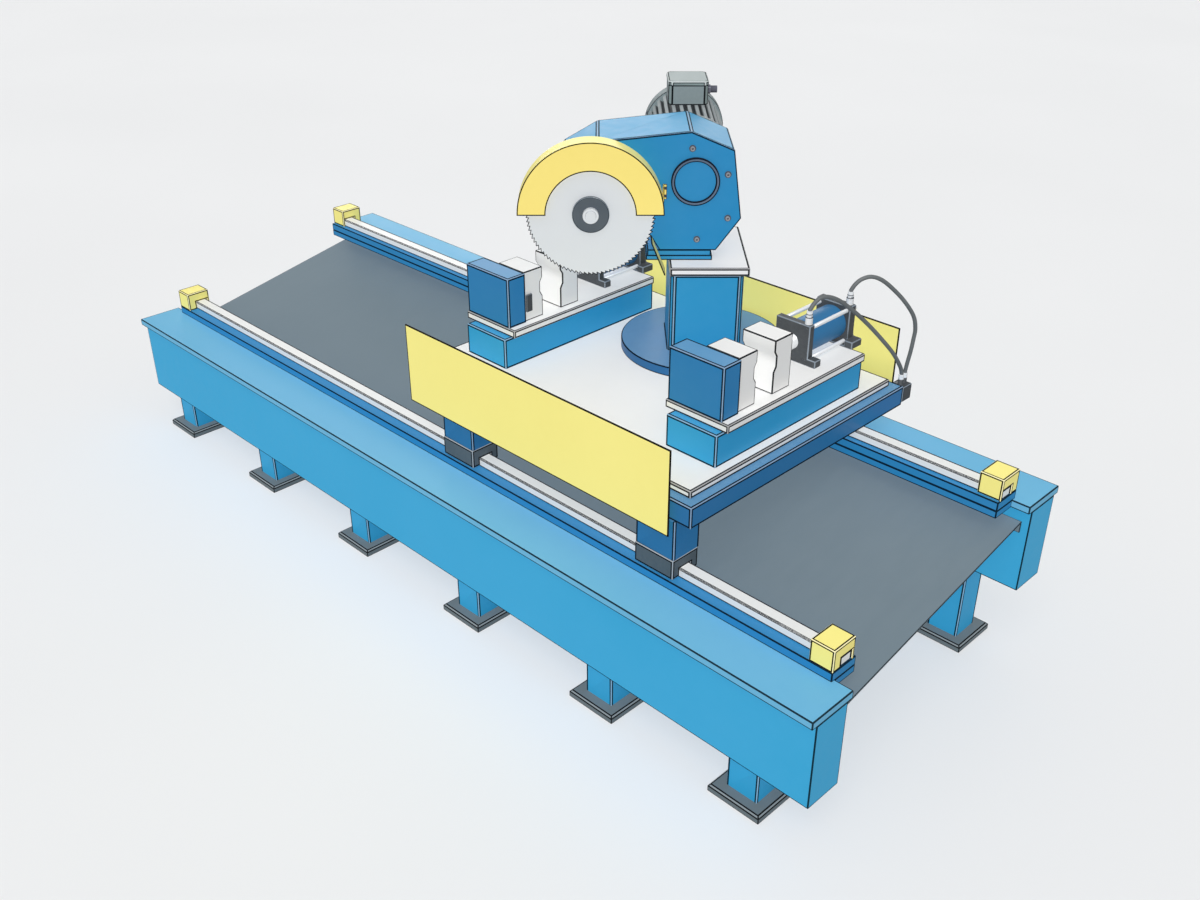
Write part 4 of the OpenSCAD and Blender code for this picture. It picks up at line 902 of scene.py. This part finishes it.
def rod_nuts():
    """Hexagon nuts on the tie rods behind each cylinder's rear head."""
    low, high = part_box("tie_rods")
    outer, inner = 0.008, 0.132
    back = facing((0.0, high[1], 0.0), (0.0, 1.0, 0.0))
    across = (low[2] + outer, high[2] - outer)
    along = (low[0] + outer, low[0] + inner, high[0] - inner, high[0] - outer)
    spots = [back.inverted() @ Vector((x, high[1], z)) for x in along for z in across]
    fasteners("rod_nuts", "rod", spots, back, "tie_rods", head_sides=6, head_radius=0.014,
              head_height=0.009, socket_sides=16, socket_radius=0.0065, socket_depth=0.002)


rod_nuts()


# Hoses

HOSE_RADIUS = 0.008
HOSE_START_FRONT = (1.2465655, 0.295, 1.296)
HOSE_START_REAR = (1.2465655, 0.550, 1.296)
HOSE_END_FRONT = (1.385, 0.757, 0.9175)
HOSE_END_REAR = (1.385, 0.781, 0.9175)
FRONT_WAY = [(0, 0, -0.037), (0.045, 0.05, -0.111), (0.13, 0.122, -0.143), (0.26, 0.248, -0.082),
             (0.43, 0.415, 0.079), (0.6, 0.578, 0.27), (0.76, 0.738, 0.478), (0.9, 0.877, 0.676),
             (0.98, 0.975, 0.856), (1, 1, 0.941)]
REAR_WAY = [(0, 0, -0.042), (0.06, 0.043, -0.1), (0.155, 0.13, -0.151), (0.3, 0.268, -0.169),
            (0.48, 0.428, -0.124), (0.69, 0.632, -0.003), (0.9, 0.823, 0.145), (1.06, 0.974, 0.304),
            (1.105, 1.035, 0.449), (1.09, 1.035, 0.571), (1.07, 1.02, 0.703), (1.03, 1.005, 0.835),
            (1, 1, 0.941)]


def hose_line(start, end, way, steps):
    """The route's points: straight out of the port, a smooth curve, straight into the block."""
    start, end = Vector(start), Vector(end)
    marks = [Vector([start[i] + (end[i] - start[i]) * part[i] for i in range(3)]) for part in way]
    line = [start]
    for i in range(len(marks) - 1):
        a, b = marks[max(i - 1, 0)], marks[i]
        c, d = marks[i + 1], marks[min(i + 2, len(marks) - 1)]
        for k in range(steps):
            t = k / steps
            line.append(0.5 * (2 * b + (c - a) * t + (2 * a - 5 * b + 4 * c - d) * t * t
                               + (3 * b - a - 3 * c + d) * t ** 3))
    line += [marks[-1], end]
    return line


def crimped_sleeve(name, foot, length, node):
    """A bright sleeve crimped on the hose in two places, standing on its fitting."""
    wide, groove, mouth = 0.0112, 0.0101, 0.0098
    steps = [0.0, 0.30, 0.34, 0.42, 0.46, 0.66, 0.70, 0.78, 0.82, 0.94, 1.0]
    radii = [wide, wide, groove, groove, wide, wide, groove, groove, wide, wide, mouth]
    wall = [(radius, step * length, 0) for radius, step in zip(radii, steps)]
    profile = [(0.0, 0.0, 0)] + wall + [(0.0, length, 0)]
    place = Matrix.Translation(foot)
    return on_node(name, turned_form(profile, place, 32), [MATERIALS["rod"][0]], node)


def hose(node, start, end, way):
    """A rubber hose from its port to the block, with its two sleeves."""
    points = hose_line(start, end, way, 6)
    curve = bpy.data.curves.new(node + "_rubber", "CURVE")
    curve.dimensions = "3D"
    curve.bevel_depth = HOSE_RADIUS
    curve.bevel_resolution = 5
    spline = curve.splines.new("POLY")
    spline.points.add(len(points) - 1)
    for point, place in zip(spline.points, points):
        point.co = (*place, 1.0)
    spline.use_smooth = True
    curve.materials.append(MATERIALS["rubber"][0])
    piece = bpy.data.objects.new(node + "_rubber", curve)
    bpy.context.scene.collection.objects.link(piece)
    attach(piece, BODY_OF[node])
    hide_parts(node)
    sleeves = [crimped_sleeve(node + "_upper_sleeve", start, 0.012, "port_fittings"),
               crimped_sleeve(node + "_lower_sleeve", end, 0.020, "hose_block")]
    length = sum((b - a).length for a, b in zip(points, points[1:]))


hose("hose_front", HOSE_START_FRONT, HOSE_END_FRONT, FRONT_WAY)
hose("hose_rear", HOSE_START_REAR, HOSE_END_REAR, REAR_WAY)


# Floor, light and camera

def studio():
    """A wide matt floor, a white world and three suns."""
    floor_form = bmesh.new()
    bmesh.ops.create_grid(floor_form, x_segments=1, y_segments=1, size=120.0)
    mesh = bpy.data.meshes.new("studio_floor")
    floor_form.to_mesh(mesh)
    floor_form.free()
    floor = bpy.data.objects.new("studio_floor", mesh)
    matt = Finish("studio_floor", Metallic=0.0, Roughness=0.9, Specular_IOR_Level=0.1)
    tone = matt.noise(0.35, 2.0)
    pale = matt.blend(tone, linear(230, 231, 232), linear(236, 237, 238))
    seen = matt.add("ShaderNodeLightPath", output="Is Camera Ray")
    matt.wear(Base_Color=matt.blend(seen, linear(170, 170, 171), pale))
    mesh.materials.append(matt.material)
    bpy.context.scene.collection.objects.link(floor)
    world = bpy.data.worlds.new("studio")
    world.use_nodes = True
    bpy.context.scene.world = world
    sky = Builder(world.node_tree)
    seen = sky.add("ShaderNodeLightPath", output="Is Camera Ray")
    background = world.node_tree.nodes["Background"]
    background.inputs["Color"].default_value = (1.0, 1.0, 1.0, 1.0)
    world.node_tree.links.new((0.28 + seen * 0.70).socket, background.inputs["Strength"])
    soft_sun("key_sun", (0.28, -0.5, 0.8), 0.3, 35.0)
    soft_sun("front_fill", (1.35, -1.9, 2.15), 2.95, 40.0, shadow=False)
    soft_sun("back_fill", (-0.7, 0.7, 0.1), 1.1, 40.0, shadow=False)


studio()
photo_camera()
bpy.context.scene.view_settings.view_transform = "Standard"
